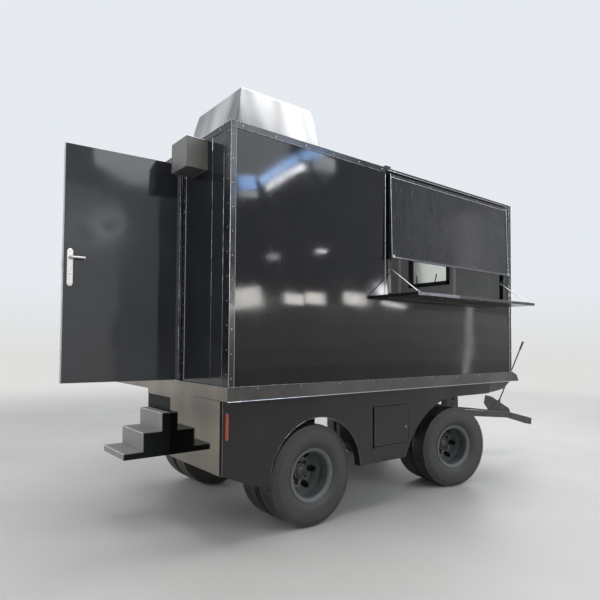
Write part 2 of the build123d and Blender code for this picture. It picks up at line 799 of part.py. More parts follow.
# Leaf springs: stepped packs in flat spans, with eyes, clamp plates and U-bolt legs; the spans of
# all leaves end at the same angles, which are those of the leaves' ends
leaf_turns = [asin((spring_half - leaf * leaf_step) / spring_r) for leaf in range(leaf_n)]
for label, axle_x, leaf_y in (
    ("rear_springs", rear_axle_x, beam_y),
    ("front_springs", turn_x, frame_y),
):
    with BuildPart() as springs:
        for side in (-1, 1):
            mid_y = side * leaf_y
            for leaf in range(leaf_n):
                upper_r = spring_r + leaf * leaf_t
                way = [-t for t in leaf_turns[leaf:]] + [0] + leaf_turns[leaf:][::-1]
                rows = [(upper_r, t) for t in way] + [(upper_r + leaf_t, t) for t in way[::-1]]
                with BuildSketch(Plane.XZ.offset(-mid_y - spring_w / 2)):
                    with BuildLine():
                        Polyline(
                            *[(axle_x + r * sin(t), pack_top + spring_r - r * cos(t)) for r, t in rows],
                            close=True,
                        )
                    make_face()
                extrude(amount=spring_w)
            for end in (-1, 1):
                with BuildSketch(Plane.XZ.offset(-mid_y - spring_w / 2)):
                    with Locations((axle_x + end * spring_half, eye_z)):
                        RegularPolygon(eye_r, eye_sides)
                extrude(amount=spring_w)
                for bolt in (-1, 1):
                    bolt_y = mid_y + bolt * (spring_w / 2 + u_bolt_r)
                    with Locations((axle_x + end * u_bolt_x, bolt_y, (clamp_low + clamp_high) / 2)):
                        Box(2 * u_bolt_r, 2 * u_bolt_r, clamp_high - clamp_low)
            for clamp_z in (clamp_low + clamp_t / 2, clamp_high - clamp_t / 2):
                with Locations((axle_x, mid_y, clamp_z)):
                    Box(clamp_l, spring_w + 4 * u_bolt_r, clamp_t)
    keep(label, springs)

# Ring that turns with the bogie, on the fixed ring's race
with BuildPart() as bogie_ring:
    with BuildSketch(Plane.XY.offset(ring_low - ring_t)):
        with Locations((turn_x, 0)):
            RegularPolygon(ring_r, ring_facets)
            Circle(ring_r - ring_w + race_t + running_gap, mode=Mode.SUBTRACT)
    extrude(amount=ring_t)
keep("bogie_ring", bogie_ring)

# Bogie frame under its ring, with the hitch brackets in front; made straight ahead
ear_off = arm_w / 2 + hitch_gap + hitch_ear_t / 2
hitch_ears = (hitch_y - ear_off, hitch_y + ear_off)
frame_z = frame_top - frame_h
with BuildPart() as bogie:
    for side in (-1, 1):
        with Locations((turn_x + (frame_x0 + frame_x1) / 2, side * frame_y, frame_z + frame_h / 2)):
            Box(frame_x1 - frame_x0, frame_w, frame_h)
        for end in (-1, 1):
            hanger_x = turn_x + end * spring_half
            for cheek in (-1, 1):
                cheek_y = side * frame_y + cheek * (spring_w + hanger_t) / 2
                with Locations((hanger_x, cheek_y, (frame_z + frame_h + eye_z - eye_r) / 2)):
                    Box(hanger_w, hanger_t, frame_z + frame_h - eye_z + eye_r)
    for end in (-1, 1):
        with Locations((turn_x + end * frame_cross_x, 0, frame_z + frame_h / 2)):
            Box(bolster_w, 2 * frame_y, frame_h)
    with Locations((turn_x + frame_x1 + hitch_beam_w / 2, 0, frame_z + frame_h - hitch_beam_h / 2)):
        Box(hitch_beam_w, 2 * frame_y + frame_w, hitch_beam_h)
    for side in (-1, 1):
        for ear_y in hitch_ears:
            with BuildSketch(Plane.XZ.offset(-side * ear_y - hitch_ear_t / 2)):
                with BuildLine():
                    Polyline(
                        (turn_x + frame_x1, frame_z),
                        (turn_x + hitch_x + hitch_ear_r, frame_z),
                        (turn_x + hitch_x + hitch_ear_r, hitch_z),
                        (turn_x + hitch_x - hitch_ear_r, hitch_z),
                        close=True,
                    )
                make_face()
                with Locations((turn_x + hitch_x, hitch_z)):
                    Circle(hitch_ear_r)
            extrude(amount=hitch_ear_t)
        with BuildSketch(Plane.XZ.offset(-side * hitch_y - arm_w / 2 - hitch_gap - hitch_ear_t)):
            with Locations((turn_x + hitch_x, hitch_z)):
                Circle(hitch_pin_r)
        extrude(amount=arm_w + 2 * hitch_gap + 2 * hitch_ear_t)
keep("bogie", bogie)

# Drawbar: two arms joined into a tongue that dips, with a web, a fin and the towing bore
arm_x0 = turn_x + hitch_x
arm_z = hitch_z - arm_h / 2
# rows: forward of the turntable, height; the fin's outline with the drawbar level
fin_line = [
    (fin_foot_x, fin_foot_z),
    (fin_heel_x, fin_heel_z),
    (fin_crest_x, fin_crest_z),
    (fin_brow_x, fin_brow_z),
    (fin_toe_x, fin_toe_z),
]
with BuildPart() as drawbar:
    for side in (-1, 1):
        with BuildSketch(Plane.XY.offset(arm_z)):
            with BuildLine():
                Polyline(
                    (arm_x0, side * (hitch_y + arm_w / 2)),
                    (arm_x0 + arm_straight, side * (hitch_y + arm_w / 2)),
                    (turn_x + arm_join_x, side * (arm_join_y + arm_w / 2)),
                    (turn_x + bend_x, side * tongue_w / 2),
                    (turn_x + bend_x, side * arm_join_y / 2),
                    (turn_x + arm_join_x, side * (arm_join_y - arm_w / 2)),
                    (arm_x0 + arm_straight, side * (hitch_y - arm_w / 2)),
                    (arm_x0, side * (hitch_y - arm_w / 2)),
                    close=True,
                )
            make_face()
        extrude(amount=arm_h)
        with BuildSketch(Plane.XZ.offset(-side * hitch_y - arm_w / 2)):
            with Locations((arm_x0, hitch_z)):
                Circle(arm_h / 2)
        extrude(amount=arm_w)
    with BuildSketch(Plane.XY.offset(hitch_z)):
        with BuildLine():
            web_y = arm_join_y + (hitch_y - arm_join_y) * (arm_join_x - web_x0) / (
                arm_join_x - hitch_x - arm_straight
            )
            Polyline(
                (turn_x + web_x0, web_y),
                (turn_x + arm_join_x, arm_join_y),
                (turn_x + bend_x, tongue_w / 4),
                (turn_x + bend_x, -tongue_w / 4),
                (turn_x + arm_join_x, -arm_join_y),
                (turn_x + web_x0, -web_y),
                close=True,
            )
        make_face()
    extrude(amount=web_t)
    with BuildSketch(Plane.XZ.offset(-tongue_w / 2)):
        with BuildLine():
            tongue_dx = tongue_l * cos(radians(tongue_dip))
            tongue_dz = -tongue_l * sin(radians(tongue_dip))
            Polyline(
                (turn_x + arm_join_x, hitch_z + arm_h / 2),
                (turn_x + bend_x, hitch_z + arm_h / 2),
                (turn_x + bend_x + tongue_dx, hitch_z + tongue_dz + tongue_h / 2),
                (turn_x + bend_x + tongue_dx, hitch_z + tongue_dz - tongue_h / 2),
                (turn_x + bend_x, hitch_z - arm_h / 2),
                (turn_x + arm_join_x, hitch_z - arm_h / 2),
                close=True,
            )
        make_face()
    extrude(amount=tongue_w)
    with BuildSketch(Plane.XZ.offset(-fin_t / 2)):
        with BuildLine():
            Polyline(
                *[(turn_x + fin_x, fin_z) for fin_x, fin_z in fin_line],
                (turn_x + bend_x, hitch_z),
                (turn_x + web_x0, hitch_z),
                close=True,
            )
        make_face()
    extrude(amount=fin_t)
    with BuildSketch(Plane.XZ.offset(-hitch_y - arm_w)):
        with Locations((arm_x0, hitch_z)):
            Circle(hitch_pin_r + running_gap)
    extrude(amount=2 * (hitch_y + arm_w), mode=Mode.SUBTRACT)
    with BuildSketch(Plane.XY.offset(hitch_z - 2 * tongue_h)):
        with Locations((turn_x + bend_x + tongue_dx - tow_bore_in, 0)):
            Circle(tow_bore_r)
    extrude(amount=3 * tongue_h, mode=Mode.SUBTRACT)
keep("drawbar", drawbar)

# Brake lever: a long rod on a foot at the fin's side
lever_y = fin_t / 2 + lever_foot_t / 2
lever_base = (turn_x + lever_x, lever_y, lever_z)
lever_tip = (
    turn_x + lever_x + lever_l * sin(radians(lever_lean)),
    lever_y,
    lever_z + lever_l * cos(radians(lever_lean)),
)
with BuildPart() as brake_lever:
    with Locations((turn_x + lever_x, lever_y, lever_z - lever_foot_drop)):
        Box(lever_foot_w, lever_foot_t, lever_foot_h)
    with BuildLine() as lever_line:
        Line(lever_base, lever_tip)
    with BuildSketch(lever_line.line ^ 0):
        Circle(lever_r)
    sweep(path=lever_line.line)
keep("brake_lever", brake_lever)

# Wheels: hub, drum and two dished rims on each, with a pair of tyres, all with flat facets
rim_back = dual_spacing / 2 - rim_w / 2
rim_front = dual_spacing / 2 + rim_w / 2
# rows: axial place outboard of the twin's middle, radius
rim_line = [
    (0, hub_r / 2),
    (disc_t, hub_r / 2),
    (disc_t, hole_pcr),
    (dish_join, dish_join_r),
    (rim_front, bead_r - rim_t),
    (rim_front, rim_r),
    (rim_front - rim_t, bead_r),
    (rim_back + rim_t, bead_r),
    (rim_back, rim_r),
    (rim_back, bead_r - rim_t),
    (0, hole_pcr + disc_t),
]
tyre_half = tyre_w / 2
bead_half = rim_w / 2 - rim_t
# rows: axial place from the tyre's middle, radius, up its outer side
tyre_side = [
    (bead_half, bead_r),
    (tyre_half, (rim_r + tyre_r) / 2),
    (tyre_half - shoulder_in, tyre_r - shoulder_drop),
    (tyre_half - tread_in, tyre_r),
]
tyre_half_line = tyre_side + [(-a, r) for a, r in reversed(tyre_side)]
tyre_line = [(dual_spacing / 2 + a, r) for a, r in tyre_half_line]

# Pairs of rims and of tyres, swept round a polygon whose flats touch the real circles
facet_turn = pi / wheel_facets
corner_r = rim_r / cos(facet_turn)
corner_turns = [facet_turn * (2 * i + 1) for i in range(wheel_facets)]
corners = [(corner_r * cos(t), 0, corner_r * sin(t)) for t in corner_turns]
path_points = [(rim_r, 0, 0), *corners, (rim_r, 0, 0)]
pairs = {}
for name, line in (("rims", rim_line), ("tyres", tyre_line)):
    with BuildPart() as pair:
        for flip in (-1, 1):
            with BuildLine() as way_round:
                Polyline(*path_points)
            with BuildSketch(Plane.XY):
                with BuildLine():
                    Polyline(*[(r, flip * a) for a, r in line], close=True)
                make_face()
            sweep(path=way_round.wires()[0], transition=Transition.RIGHT)
    pairs[name] = pair.part

wheel_rows = [
    ("rear_right", rear_axle_x, -1),
    ("rear_left", rear_axle_x, 1),
    ("front_right", turn_x, -1),
    ("front_left", turn_x, 1),
]
for place, wheel_x, side in wheel_rows:
    with BuildPart() as wheel:
        with Locations((wheel_x, side * dual_y, tyre_r)):
            add(pairs["rims"])
        with BuildSketch(Plane.XZ.offset(-side * dual_y)):
            with Locations((wheel_x, tyre_r)):
                with PolarLocations(hole_pcr, hole_n):
                    RegularPolygon(hole_r, hole_sides)
        extrude(amount=dual_spacing / 2, both=True, mode=Mode.SUBTRACT)
        with BuildSketch(Plane.XZ.offset(-side * (dual_y - disc_t))):
            with Locations((wheel_x, tyre_r)):
                RegularPolygon(hub_r, wheel_facets)
        extrude(amount=-side * (hub_out + disc_t))
        with BuildSketch(Plane.XZ.offset(-side * (dual_y - disc_t))):
            with Locations((wheel_x, tyre_r)):
                RegularPolygon(drum_r, wheel_facets)
        extrude(amount=side * drum_l)
        with BuildSketch(Plane.XZ.offset(-side * (dual_y + spindle_out + spindle_end))):
            with Locations((wheel_x, tyre_r)):
                Circle(spindle_r + running_gap)
        extrude(amount=side * (2 * drum_l), mode=Mode.SUBTRACT)
    keep(f"wheel_{place}", wheel)
    with BuildPart() as tyres:
        with Locations((wheel_x, side * dual_y, tyre_r)):
            add(pairs["tyres"])
    keep(f"tyres_{place}", tyres)

# Kitchen inside: cooking range with its pots, the hood over it and the bench at the hatch
inner_y = -half_w + wall_t
range_mid_y = inner_y + range_gap + range_w / 2
with BuildPart() as cooking_range:
    with Locations((range_x0 + range_l / 2, range_mid_y, floor_z + range_h / 2)):
        Box(range_l, range_w, range_h)
    with BuildSketch(Plane.XY.offset(floor_z + range_h)):
        with Locations((range_x0 + range_l / 2, range_mid_y)):
            with GridLocations(range_l / pot_n, 0, pot_n, 1):
                RegularPolygon(pot_r, pot_facets)
    extrude(amount=pot_rise)
keep("cooking_range", cooking_range)

hood_x0 = wall_t + range_gap
hood_y0 = range_mid_y - range_w / 2
throat = flue_side + 2 * hood_sheet
throat_x0, throat_y0 = cowl_mid[0] - throat / 2, cowl_mid[1] - throat / 2
# rows: drawing plane, the hood's low start and width across it, the throat's start, reach, mode
hood_rows = [
    (Plane.XZ, hood_x0, flue_side + hood_flare, throat_x0, body_w, Mode.ADD),
    (Plane.YZ, hood_y0, range_w, throat_y0, body_l, Mode.INTERSECT),
]
funnels = []
for inset in (0, hood_sheet):
    with BuildPart() as funnel:
        for plane, low_start, low_w, high_start, reach, mode in hood_rows:
            with BuildSketch(plane):
                with BuildLine():
                    Polyline(
                        (low_start + inset, wall_top - hood_h),
                        (low_start + low_w - inset, wall_top - hood_h),
                        (high_start + throat - inset, wall_top),
                        (high_start + inset, wall_top),
                        close=True,
                    )
                make_face()
            extrude(amount=reach, both=True, mode=mode)
    funnels.append(funnel.part)
with BuildPart() as range_hood:
    add(funnels[0])
    add(funnels[1], mode=Mode.SUBTRACT)
keep("range_hood", range_hood)

with BuildPart() as bench:
    bench_mid = (bench_x0 + bench_l / 2, inner_y + range_gap + bench_d / 2)
    with Locations((*bench_mid, floor_z + bench_h - bench_top / 2)):
        Box(bench_l, bench_d, bench_top)
    with Locations((*bench_mid, floor_z + bench_shelf_z)):
        Box(bench_l, bench_d, bench_top)
    with BuildSketch(Plane.XY.offset(floor_z)):
        with Locations(bench_mid):
            with GridLocations(bench_l - bench_leg, bench_d - bench_leg, 2, 2):
                Rectangle(bench_leg, bench_leg)
    extrude(amount=bench_h)
keep("bench", bench)

# Stance: what stands open, dipped or steered is turned about its own hinge line
forward, across, upward = (1, 0, 0), (0, 1, 0), (0, 0, 1)
door_hinge = (-door_pin_out, door_hinge_y, floor_z)
flap_hinge = (flap_x0, -pin_y, flap_top_z)
counter_hinge = (counter_x0, -pin_y, hatch_z0)
drawbar_hinge = (turn_x + hitch_x, 0, hitch_z)
turn_point = (turn_x, 0, ring_low)
on_drawbar = ("drawbar", "brake_lever")
on_bogie = (
    "bogie", "bogie_ring", "front_axle", "front_springs", "wheel_front_right", "wheel_front_left",
    "tyres_front_right", "tyres_front_left",
)
# rows: pieces, a point on the hinge line, its direction, degrees
turns = [
    (("door", "door_handle"), door_hinge, upward, door_open),
    (("flap",), flap_hinge, forward, -flap_ajar),
    (("counter",), counter_hinge, forward, counter_open),
    (on_drawbar, drawbar_hinge, across, drawbar_dip),
    (on_bogie + on_drawbar, turn_point, upward, -steer),
]
for labels, point, direction, angle in turns:
    for label in labels:
        pieces[label] = pieces[label].rotate(Axis(point, direction), angle)

# Origin under the middle of the whole trailer, then one file for each piece
boxes = [piece.bounding_box() for piece in pieces.values()]
mid_x = (min(box.min.X for box in boxes) + max(box.max.X for box in boxes)) / 2
mid_y = (min(box.min.Y for box in boxes) + max(box.max.Y for box in boxes)) / 2
low_z = min(box.min.Z for box in boxes)
os.makedirs("parts", exist_ok=True)
for label, piece in pieces.items():
    placed = piece.moved(Location((-mid_x, -mid_y, -low_z)))
    placed.label = label
    export_step(placed, f"parts/{label}.step")
print("origin shift", -mid_x, -mid_y, -low_z)
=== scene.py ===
"""Looks of the field kitchen trailer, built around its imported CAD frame."""
from math import asin, cos, degrees, exp, log, pi, radians, sin, tau

import bpy
from mathutils import Matrix, Vector


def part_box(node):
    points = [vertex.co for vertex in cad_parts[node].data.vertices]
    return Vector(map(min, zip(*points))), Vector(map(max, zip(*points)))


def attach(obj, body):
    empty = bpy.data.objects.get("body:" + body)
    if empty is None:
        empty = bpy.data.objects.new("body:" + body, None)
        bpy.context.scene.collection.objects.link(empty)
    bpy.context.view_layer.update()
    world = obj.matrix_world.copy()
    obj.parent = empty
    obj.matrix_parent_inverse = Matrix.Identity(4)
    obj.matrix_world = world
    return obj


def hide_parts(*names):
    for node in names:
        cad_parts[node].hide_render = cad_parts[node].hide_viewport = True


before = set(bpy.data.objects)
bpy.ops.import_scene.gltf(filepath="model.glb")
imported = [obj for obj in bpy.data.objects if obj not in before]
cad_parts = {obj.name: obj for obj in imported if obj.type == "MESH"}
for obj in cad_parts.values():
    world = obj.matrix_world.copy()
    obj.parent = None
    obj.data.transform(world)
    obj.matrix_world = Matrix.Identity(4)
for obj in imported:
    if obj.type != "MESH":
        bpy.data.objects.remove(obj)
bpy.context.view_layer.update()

# The trailer's own coordinates, in metres: x = 0 at the body's rear face, y = 0 on its centreline,
# right is -y, ground at z = 0. Pieces are made straight, level and shut in them, then turned and
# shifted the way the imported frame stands.
rear_corner, far_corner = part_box("wall_right")[0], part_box("wall_left")[1]
origin = Vector((rear_corner.x, (rear_corner.y + far_corner.y) / 2, 0))
HALF_W = 1.2
BODY_L = 3.85
FLOOR_Z = 1.235
ROOF_Z = 3.2
WALL_T = 0.045
RAIL_H = 0.11
RAIL_OUT = 0.01
STRIP_T = 0.003
STRIP_SIDE = 0.046
STRIP_END = 0.095
PIN_Y = 1.217
PANEL_OUT = 1.21
FLAP_X = (1.692, 3.692)
FLAP_Z = (2.352, 3.14)
FLAP_T = 0.025
HATCH_X = (1.74, 3.68)
HATCH_Z = (2.015, 3.11)
COUNTER_X = (1.744, 3.785)
COUNTER_W = 0.3
WINDOW_Y = (-0.3715, 0.2855)
WINDOW_Z = (2.346, 2.826)
DOOR_Y = (-0.394, 0.515)
DOOR_Z = (1.241, 3.079)
DOOR_T = 0.04
DOOR_PIN = (-0.017, -0.4)
DOORWAY_Y = (-0.4, 0.522)
DOORWAY_TOP = 3.085
COWL_X = (0.04, 0.975)
COWL_Y = (-1.195, -0.26)
FLANGE_Z = 3.207
STAIR_Y = (-0.245, 0.25)
SKIRT_Y = 1.12
ARCH_R = 0.501
TYRE_R = 0.4325
AXLE_X = (0.93, 3.2)
DUAL_Y = 0.819
TWIN = 0.135
SPRING_Y = (0.42, 0.4)
SPRING_HALF = 0.47
TURN_X = 3.2
HITCH_X = 3.84
HITCH_Z = 0.69
HITCH_Y = 0.33


def turned(point, axis, angle):
    """A turn in degrees about a line through a point of the trailer."""
    place = Matrix.Translation(Vector(point))
    return place @ Matrix.Rotation(radians(angle), 4, Vector(axis)) @ place.inverted()


still = Matrix.Identity(4)
steer_turn = turned((TURN_X, 0, 0), (0, 0, 1), -12.4)
stance = {
    **dict.fromkeys(("trailer", "locker_right", "locker_left", "twin_rear_right", "twin_rear_left"), still),
    **dict.fromkeys(("steering_bogie", "twin_front_right", "twin_front_left"), steer_turn),
    "rear_door": turned((*DOOR_PIN, 0), (0, 0, 1), 84.6),
    "hatch_flap": turned((0, -PIN_Y, FLAP_Z[1]), (1, 0, 0), -1.5),
    "hatch_counter": turned((0, -PIN_Y, HATCH_Z[0]), (1, 0, 0), 90),
    "towing_bar": steer_turn @ turned((HITCH_X, 0, HITCH_Z), (0, 1, 0), 6.3),
}


# Materials
class Tree:
    """The node tree of a material or a world, built by short calls."""

    def __init__(self, owner):
        owner.use_nodes = True
        self.nodes, self.links = owner.node_tree.nodes, owner.node_tree.links

    def feed(self, node, inputs):
        """Gives a node's sockets, by name or number, a value or another node's output."""
        for socket, source in inputs.items():
            if isinstance(source, bpy.types.NodeSocket):
                self.links.new(source, node.inputs[socket])
            else:
                node.inputs[socket].default_value = source
        return node

    def add(self, kind, inputs, **settings):
        node = self.nodes.new("ShaderNode" + kind)
        for name, value in settings.items():
            setattr(node, name, value)
        return self.feed(node, inputs)

    def place(self):
        return self.add("TexCoord", {}).outputs["Object"]

    def stretched(self, vector, scale):
        return self.add("Mapping", {"Vector": vector, "Scale": scale}).outputs["Vector"]

    def noise(self, vector, scale, detail=2.0, rough=0.5):
        inputs = {"Vector": vector, "Scale": scale, "Detail": detail, "Roughness": rough}
        return self.add("TexNoise", inputs).outputs["Fac"]

    def mapped(self, value, low, high, to_low=0.0, to_high=1.0, **settings):
        """A value brought from the range low to high into the range to_low to to_high."""
        ranges = {"Value": value, "From Min": low, "From Max": high, "To Min": to_low, "To Max": to_high}
        return self.add("MapRange", ranges, **settings).outputs["Result"]

    def ramp(self, value, first, second, start=0.0, end=1.0):
        """A colour that goes from the first to the second between two values."""
        node = self.add("ValToRGB", {"Fac": value})
        for stop, place, color in zip(node.color_ramp.elements, (start, end), (first, second)):
            stop.position = place
            stop.color = (*color, 1)
        return node.outputs["Color"]

    def math(self, operation, a, b):
        return self.add("Math", {0: a, 1: b}, operation=operation).outputs["Value"]

    def seen_rays(self):
        """1 for camera, glossy and transmission rays, and 0 for the light that falls on things."""
        path = self.add("LightPath", {})
        seen = path.outputs["Is Camera Ray"]
        for ray in ("Is Glossy Ray", "Is Transmission Ray"):
            seen = self.math("MAXIMUM", seen, path.outputs[ray])
        return seen


def new_material(name):
    mat = bpy.data.materials.new(name.replace("_", " ") + " finish")
    tree = Tree(mat)
    return mat, tree, tree.nodes["Principled BSDF"]


def surface(
    name, color, worn_and_reflection, rough, rough_worn_and_reflection, scale, metallic=0.0, share=0.5, stretch=(1, 1, 1), detail=6.0,
    wave=(0, 0), grain=(0, 0), coat=0.0, specular=0.5,
):
    """A finish whose colour and gloss drift between a clean and a worn state, with waves and grain; in the
    cowl's and the mirror sheet's finishes the second state is painted reflection, not wear.
    """
    mat, tree, shader = new_material(name)
    place = tree.place()
    wear_and_reflection = tree.noise(tree.stretched(place, stretch), scale, detail, 0.62)
    tree.feed(shader, {
        "Metallic": metallic, "Specular IOR Level": specular, "Coat Weight": coat, "Coat Roughness": 0.06,
        "Base Color": tree.ramp(wear_and_reflection, color, worn_and_reflection, 0.62 - share * 0.5, 0.86 - share * 0.35),
        "Roughness": tree.mapped(wear_and_reflection, 0.35, 0.7, rough, rough_worn_and_reflection),
    })
    normal = shader.inputs["Normal"]
    for (depth, bump_scale), bump_detail in ((grain, 4.0), (wave, 1.0)):
        if depth:
            height = tree.noise(place, bump_scale, bump_detail)
            bump = tree.add("Bump", {"Height": height, "Distance": depth})
            tree.links.new(bump.outputs["Normal"], normal)
            normal = bump.inputs["Normal"]
    return mat


# rows: name, colour, worn colour (painted reflection in the cowl and mirror rows), roughness, worn roughness,
# scale of the wear, other values;
# wave and grain are pairs of depth and scale
surfaces = [
    ("black_paint", (0.006, 0.006, 0.007), (0.009, 0.009, 0.01), 0.045, 0.09, 4,
     dict(wave=(0.008, 1.1), specular=0.27)),
    ("roof_paint", (0.02, 0.02, 0.021), (0.06, 0.058, 0.054), 0.22, 0.45, 2.2, dict(wave=(0.006, 1.4))),
    # door and rear wall: a lighter, bluish copy of the body's black paint, a painted reflection of blue light
    ("door_paint", (0.016, 0.018, 0.023), (0.026, 0.029, 0.034), 0.05, 0.12, 1.6, dict(wave=(0.012, 1.3))),
    ("black_trim", (0.008, 0.008, 0.009), (0.016, 0.016, 0.017), 0.14, 0.28, 9, dict(wave=(0.003, 3))),
    # floor rail: lighter grey than the body's black paint, a painted reflection of the pale floor
    ("rail_paint", (0.042, 0.041, 0.039), (0.07, 0.069, 0.064), 0.12, 0.28, 1.4, dict(wave=(0.004, 2.5))),
    ("nose_paint", (0.024, 0.024, 0.026), (0.04, 0.04, 0.041), 0.18, 0.34, 3, dict(wave=(0.005, 2))),
    ("skirt_paint", (0.013, 0.013, 0.014), (0.019, 0.019, 0.018), 0.1, 0.2, 1.6,
     dict(wave=(0.01, 1.7), detail=3, specular=0.34)),
    ("chassis_paint", (0.02, 0.02, 0.02), (0.085, 0.077, 0.066), 0.42, 0.75, 7,
     dict(share=0.42, grain=(0.0008, 90))),
    # rear sheet: the dark warm tint and its darker patches are painted reflection of the floor and surroundings
    ("mirror", (0.27, 0.245, 0.205), (0.16, 0.152, 0.138), 0.04, 0.07, 1.3,
     dict(metallic=1, wave=(0.004, 1.2), detail=2)),
    ("stair_paint", (0.008, 0.0105, 0.0105), (0.013, 0.0145, 0.0145), 0.34, 0.48, 5,
     dict(grain=(0.0003, 90), specular=0.08, detail=3)),
    ("tread_paint", (0.215, 0.215, 0.215), (0.285, 0.28, 0.27), 0.52, 0.72, 8, dict(grain=(0.0008, 220))),
    ("wheel_paint", (0.085, 0.096, 0.098), (0.125, 0.13, 0.126), 0.34, 0.6, 9,
     dict(share=0.42, grain=(0.0003, 90))),
    ("hub_paint", (0.028, 0.03, 0.03), (0.08, 0.078, 0.072), 0.36, 0.62, 16,
     dict(share=0.42, grain=(0.0004, 90))),
    ("steel", (0.62, 0.62, 0.61), (0.5, 0.5, 0.49), 0.16, 0.3, 5, dict(metallic=1, wave=(0.003, 4))),
    # cowl: its dark second colour, stretched upright into vertical bands, is painted reflection, not wear
    ("cowl_steel", (0.6, 0.6, 0.585), (0.2, 0.2, 0.205), 0.22, 0.32, 3.4,
     dict(metallic=1, share=0.62, stretch=(1, 1, 0.1), wave=(0.01, 1.6), detail=1)),
    ("brushed", (0.55, 0.55, 0.54), (0.46, 0.46, 0.45), 0.3, 0.44, 14,
     dict(metallic=1, stretch=(1, 1, 9), grain=(0.0002, 300))),
    ("spring_steel", (0.035, 0.033, 0.031), (0.12, 0.075, 0.045), 0.5, 0.8, 20,
     dict(metallic=0.4, share=0.4, grain=(0.0006, 90))),
    ("bolt_steel", (0.2, 0.19, 0.17), (0.1, 0.085, 0.07), 0.34, 0.55, 40, dict(metallic=0.9, share=0.45)),
    ("bare_aluminium", (0.66, 0.67, 0.68), (0.52, 0.53, 0.54), 0.3, 0.46, 10, dict(metallic=1)),
    ("handle_steel", (0.64, 0.63, 0.6), (0.59, 0.58, 0.55), 0.26, 0.36, 8, dict(metallic=0.7)),
    ("frame_black", (0.01, 0.011, 0.011), (0.022, 0.022, 0.021), 0.32, 0.4, 12, {}),
    ("counter_black", (0.01, 0.011, 0.012), (0.022, 0.022, 0.022), 0.16, 0.34, 5, dict(wave=(0.003, 3))),
    ("counter_lip", (0.1, 0.1, 0.115), (0.26, 0.25, 0.29), 0.26, 0.4, 1.6,
     dict(metallic=0.6, share=0.45, detail=2)),
    ("rivet", (0.5, 0.51, 0.52), (0.3, 0.3, 0.31), 0.22, 0.4, 30, dict(metallic=1)),
    ("dark_bolt", (0.1, 0.095, 0.085), (0.05, 0.045, 0.04), 0.4, 0.6, 40, dict(metallic=0.6)),
    # edge_shine and bright_edge: pale metal on thin rods, beads, knuckles and rivets along dark edges, standing
    # in for their highlights
    ("edge_shine", (0.24, 0.25, 0.26), (0.05, 0.05, 0.055), 0.2, 0.36, 16, dict(metallic=0.9)),
    ("bright_edge", (0.6, 0.61, 0.63), (0.34, 0.35, 0.36), 0.18, 0.32, 9, dict(metallic=1, share=0.35)),
    ("lining", (0.36, 0.37, 0.365), (0.31, 0.32, 0.315), 0.4, 0.55, 3, dict(wave=(0.002, 1.5))),
    ("lining_trim", (0.66, 0.66, 0.64), (0.58, 0.58, 0.56), 0.3, 0.38, 12, {}),
    ("floor_sheet", (0.2, 0.2, 0.2), (0.13, 0.125, 0.12), 0.48, 0.7, 5, dict(metallic=0.3)),
    ("white_edge", (0.55, 0.56, 0.56), (0.42, 0.42, 0.41), 0.4, 0.6, 18, {}),
    ("rubber", (0.015, 0.015, 0.015), (0.04, 0.038, 0.036), 0.62, 0.7, 25, {}),
    ("tyre", (0.028, 0.028, 0.026), (0.048, 0.046, 0.041), 0.44, 0.7, 2.6,
     dict(share=0.55, grain=(0.0003, 160), detail=4)),
    ("tread_face", (0.03, 0.03, 0.029), (0.075, 0.072, 0.064), 0.24, 0.6, 9, dict(grain=(0.0004, 140))),
    ("yellow_mark", (0.42, 0.36, 0.1), (0.12, 0.1, 0.05), 0.7, 0.9, 26, dict(share=0.6)),
    ("red_plastic", (0.36, 0.03, 0.01), (0.26, 0.035, 0.012), 0.18, 0.3, 30,
     dict(grain=(0.0012, 260), coat=0.6)),
    ("vent_grey", (0.12, 0.117, 0.108), (0.15, 0.145, 0.132), 0.3, 0.45, 5, dict(wave=(0.002, 1.5))),
    ("range_black", (0.02, 0.02, 0.021), (0.05, 0.045, 0.04), 0.4, 0.6, 8, dict(grain=(0.0006, 90))),
]
finish = {row[0]: surface(*row[:6], **row[6]) for row in surfaces}


def film_material():
    """Dusty protective film on the flap: streaked and scratched down its length over a glossy ground."""
    mat, tree, shader = new_material("flap_film")
    place = tree.place()
    dust = 0.0
    # rows: noise scale, stretch, where the streak starts and is full, share of its strength
    for scale, stretch, low, high, top in (
        (1.5, (1, 1, 0.8), 0.4, 0.78, 0.34), (9.0, (3, 3, 0.45), 0.54, 0.8, 0.38),
        (26.0, (3.2, 3.2, 0.22), 0.6, 0.74, 1.0),
    ):
        streaks = tree.noise(tree.stretched(place, stretch), scale, 8.0, 0.7)
        dust = tree.math("MAXIMUM", tree.mapped(streaks, low, high, 0.0, top), dust)
    bump = tree.add("Bump", {"Distance": 0.0008, "Height": dust})
    tree.feed(shader, {
        "Specular IOR Level": 0.34, "Normal": bump.outputs["Normal"],
        "Base Color": tree.ramp(dust, (0.012, 0.012, 0.014), (0.105, 0.107, 0.115)),
        "Roughness": tree.mapped(dust, 0, 1, 0.12, 0.46),
    })
    return mat


def glass_material():
    mat, tree, shader = new_material("window_glass")
    dust = tree.noise(tree.place(), 7.0)
    tree.feed(shader, {
        "Transmission Weight": 0.9, "IOR": 1.45, "Roughness": tree.mapped(dust, 0, 1, 0.04, 0.24),
        "Base Color": tree.ramp(dust, (0.135, 0.143, 0.134), (0.185, 0.196, 0.18)),
    })
    return mat


finish["film"] = film_material()
finish["glass"] = glass_material()


# Shape making
def basis(axis):
    """An axis of length 1 and the two directions across it."""
    along = Vector(axis).normalized()
    first = along.orthogonal().normalized()
    return along, first, along.cross(first)


def circle(centre, axis, radius, count):
    _, first, second = basis(axis)
    turns = [tau * i / count for i in range(count)]
    return [Vector(centre) + (first * cos(t) + second * sin(t)) * radius for t in turns]


def turned_rows(profile, centre, axis, count):
    """A circle round the axis for each row of a profile: distance along the axis, radius."""
    along = Vector(axis).normalized()
    return [circle(Vector(centre) + along * a, axis, r, count) for a, r in profile]


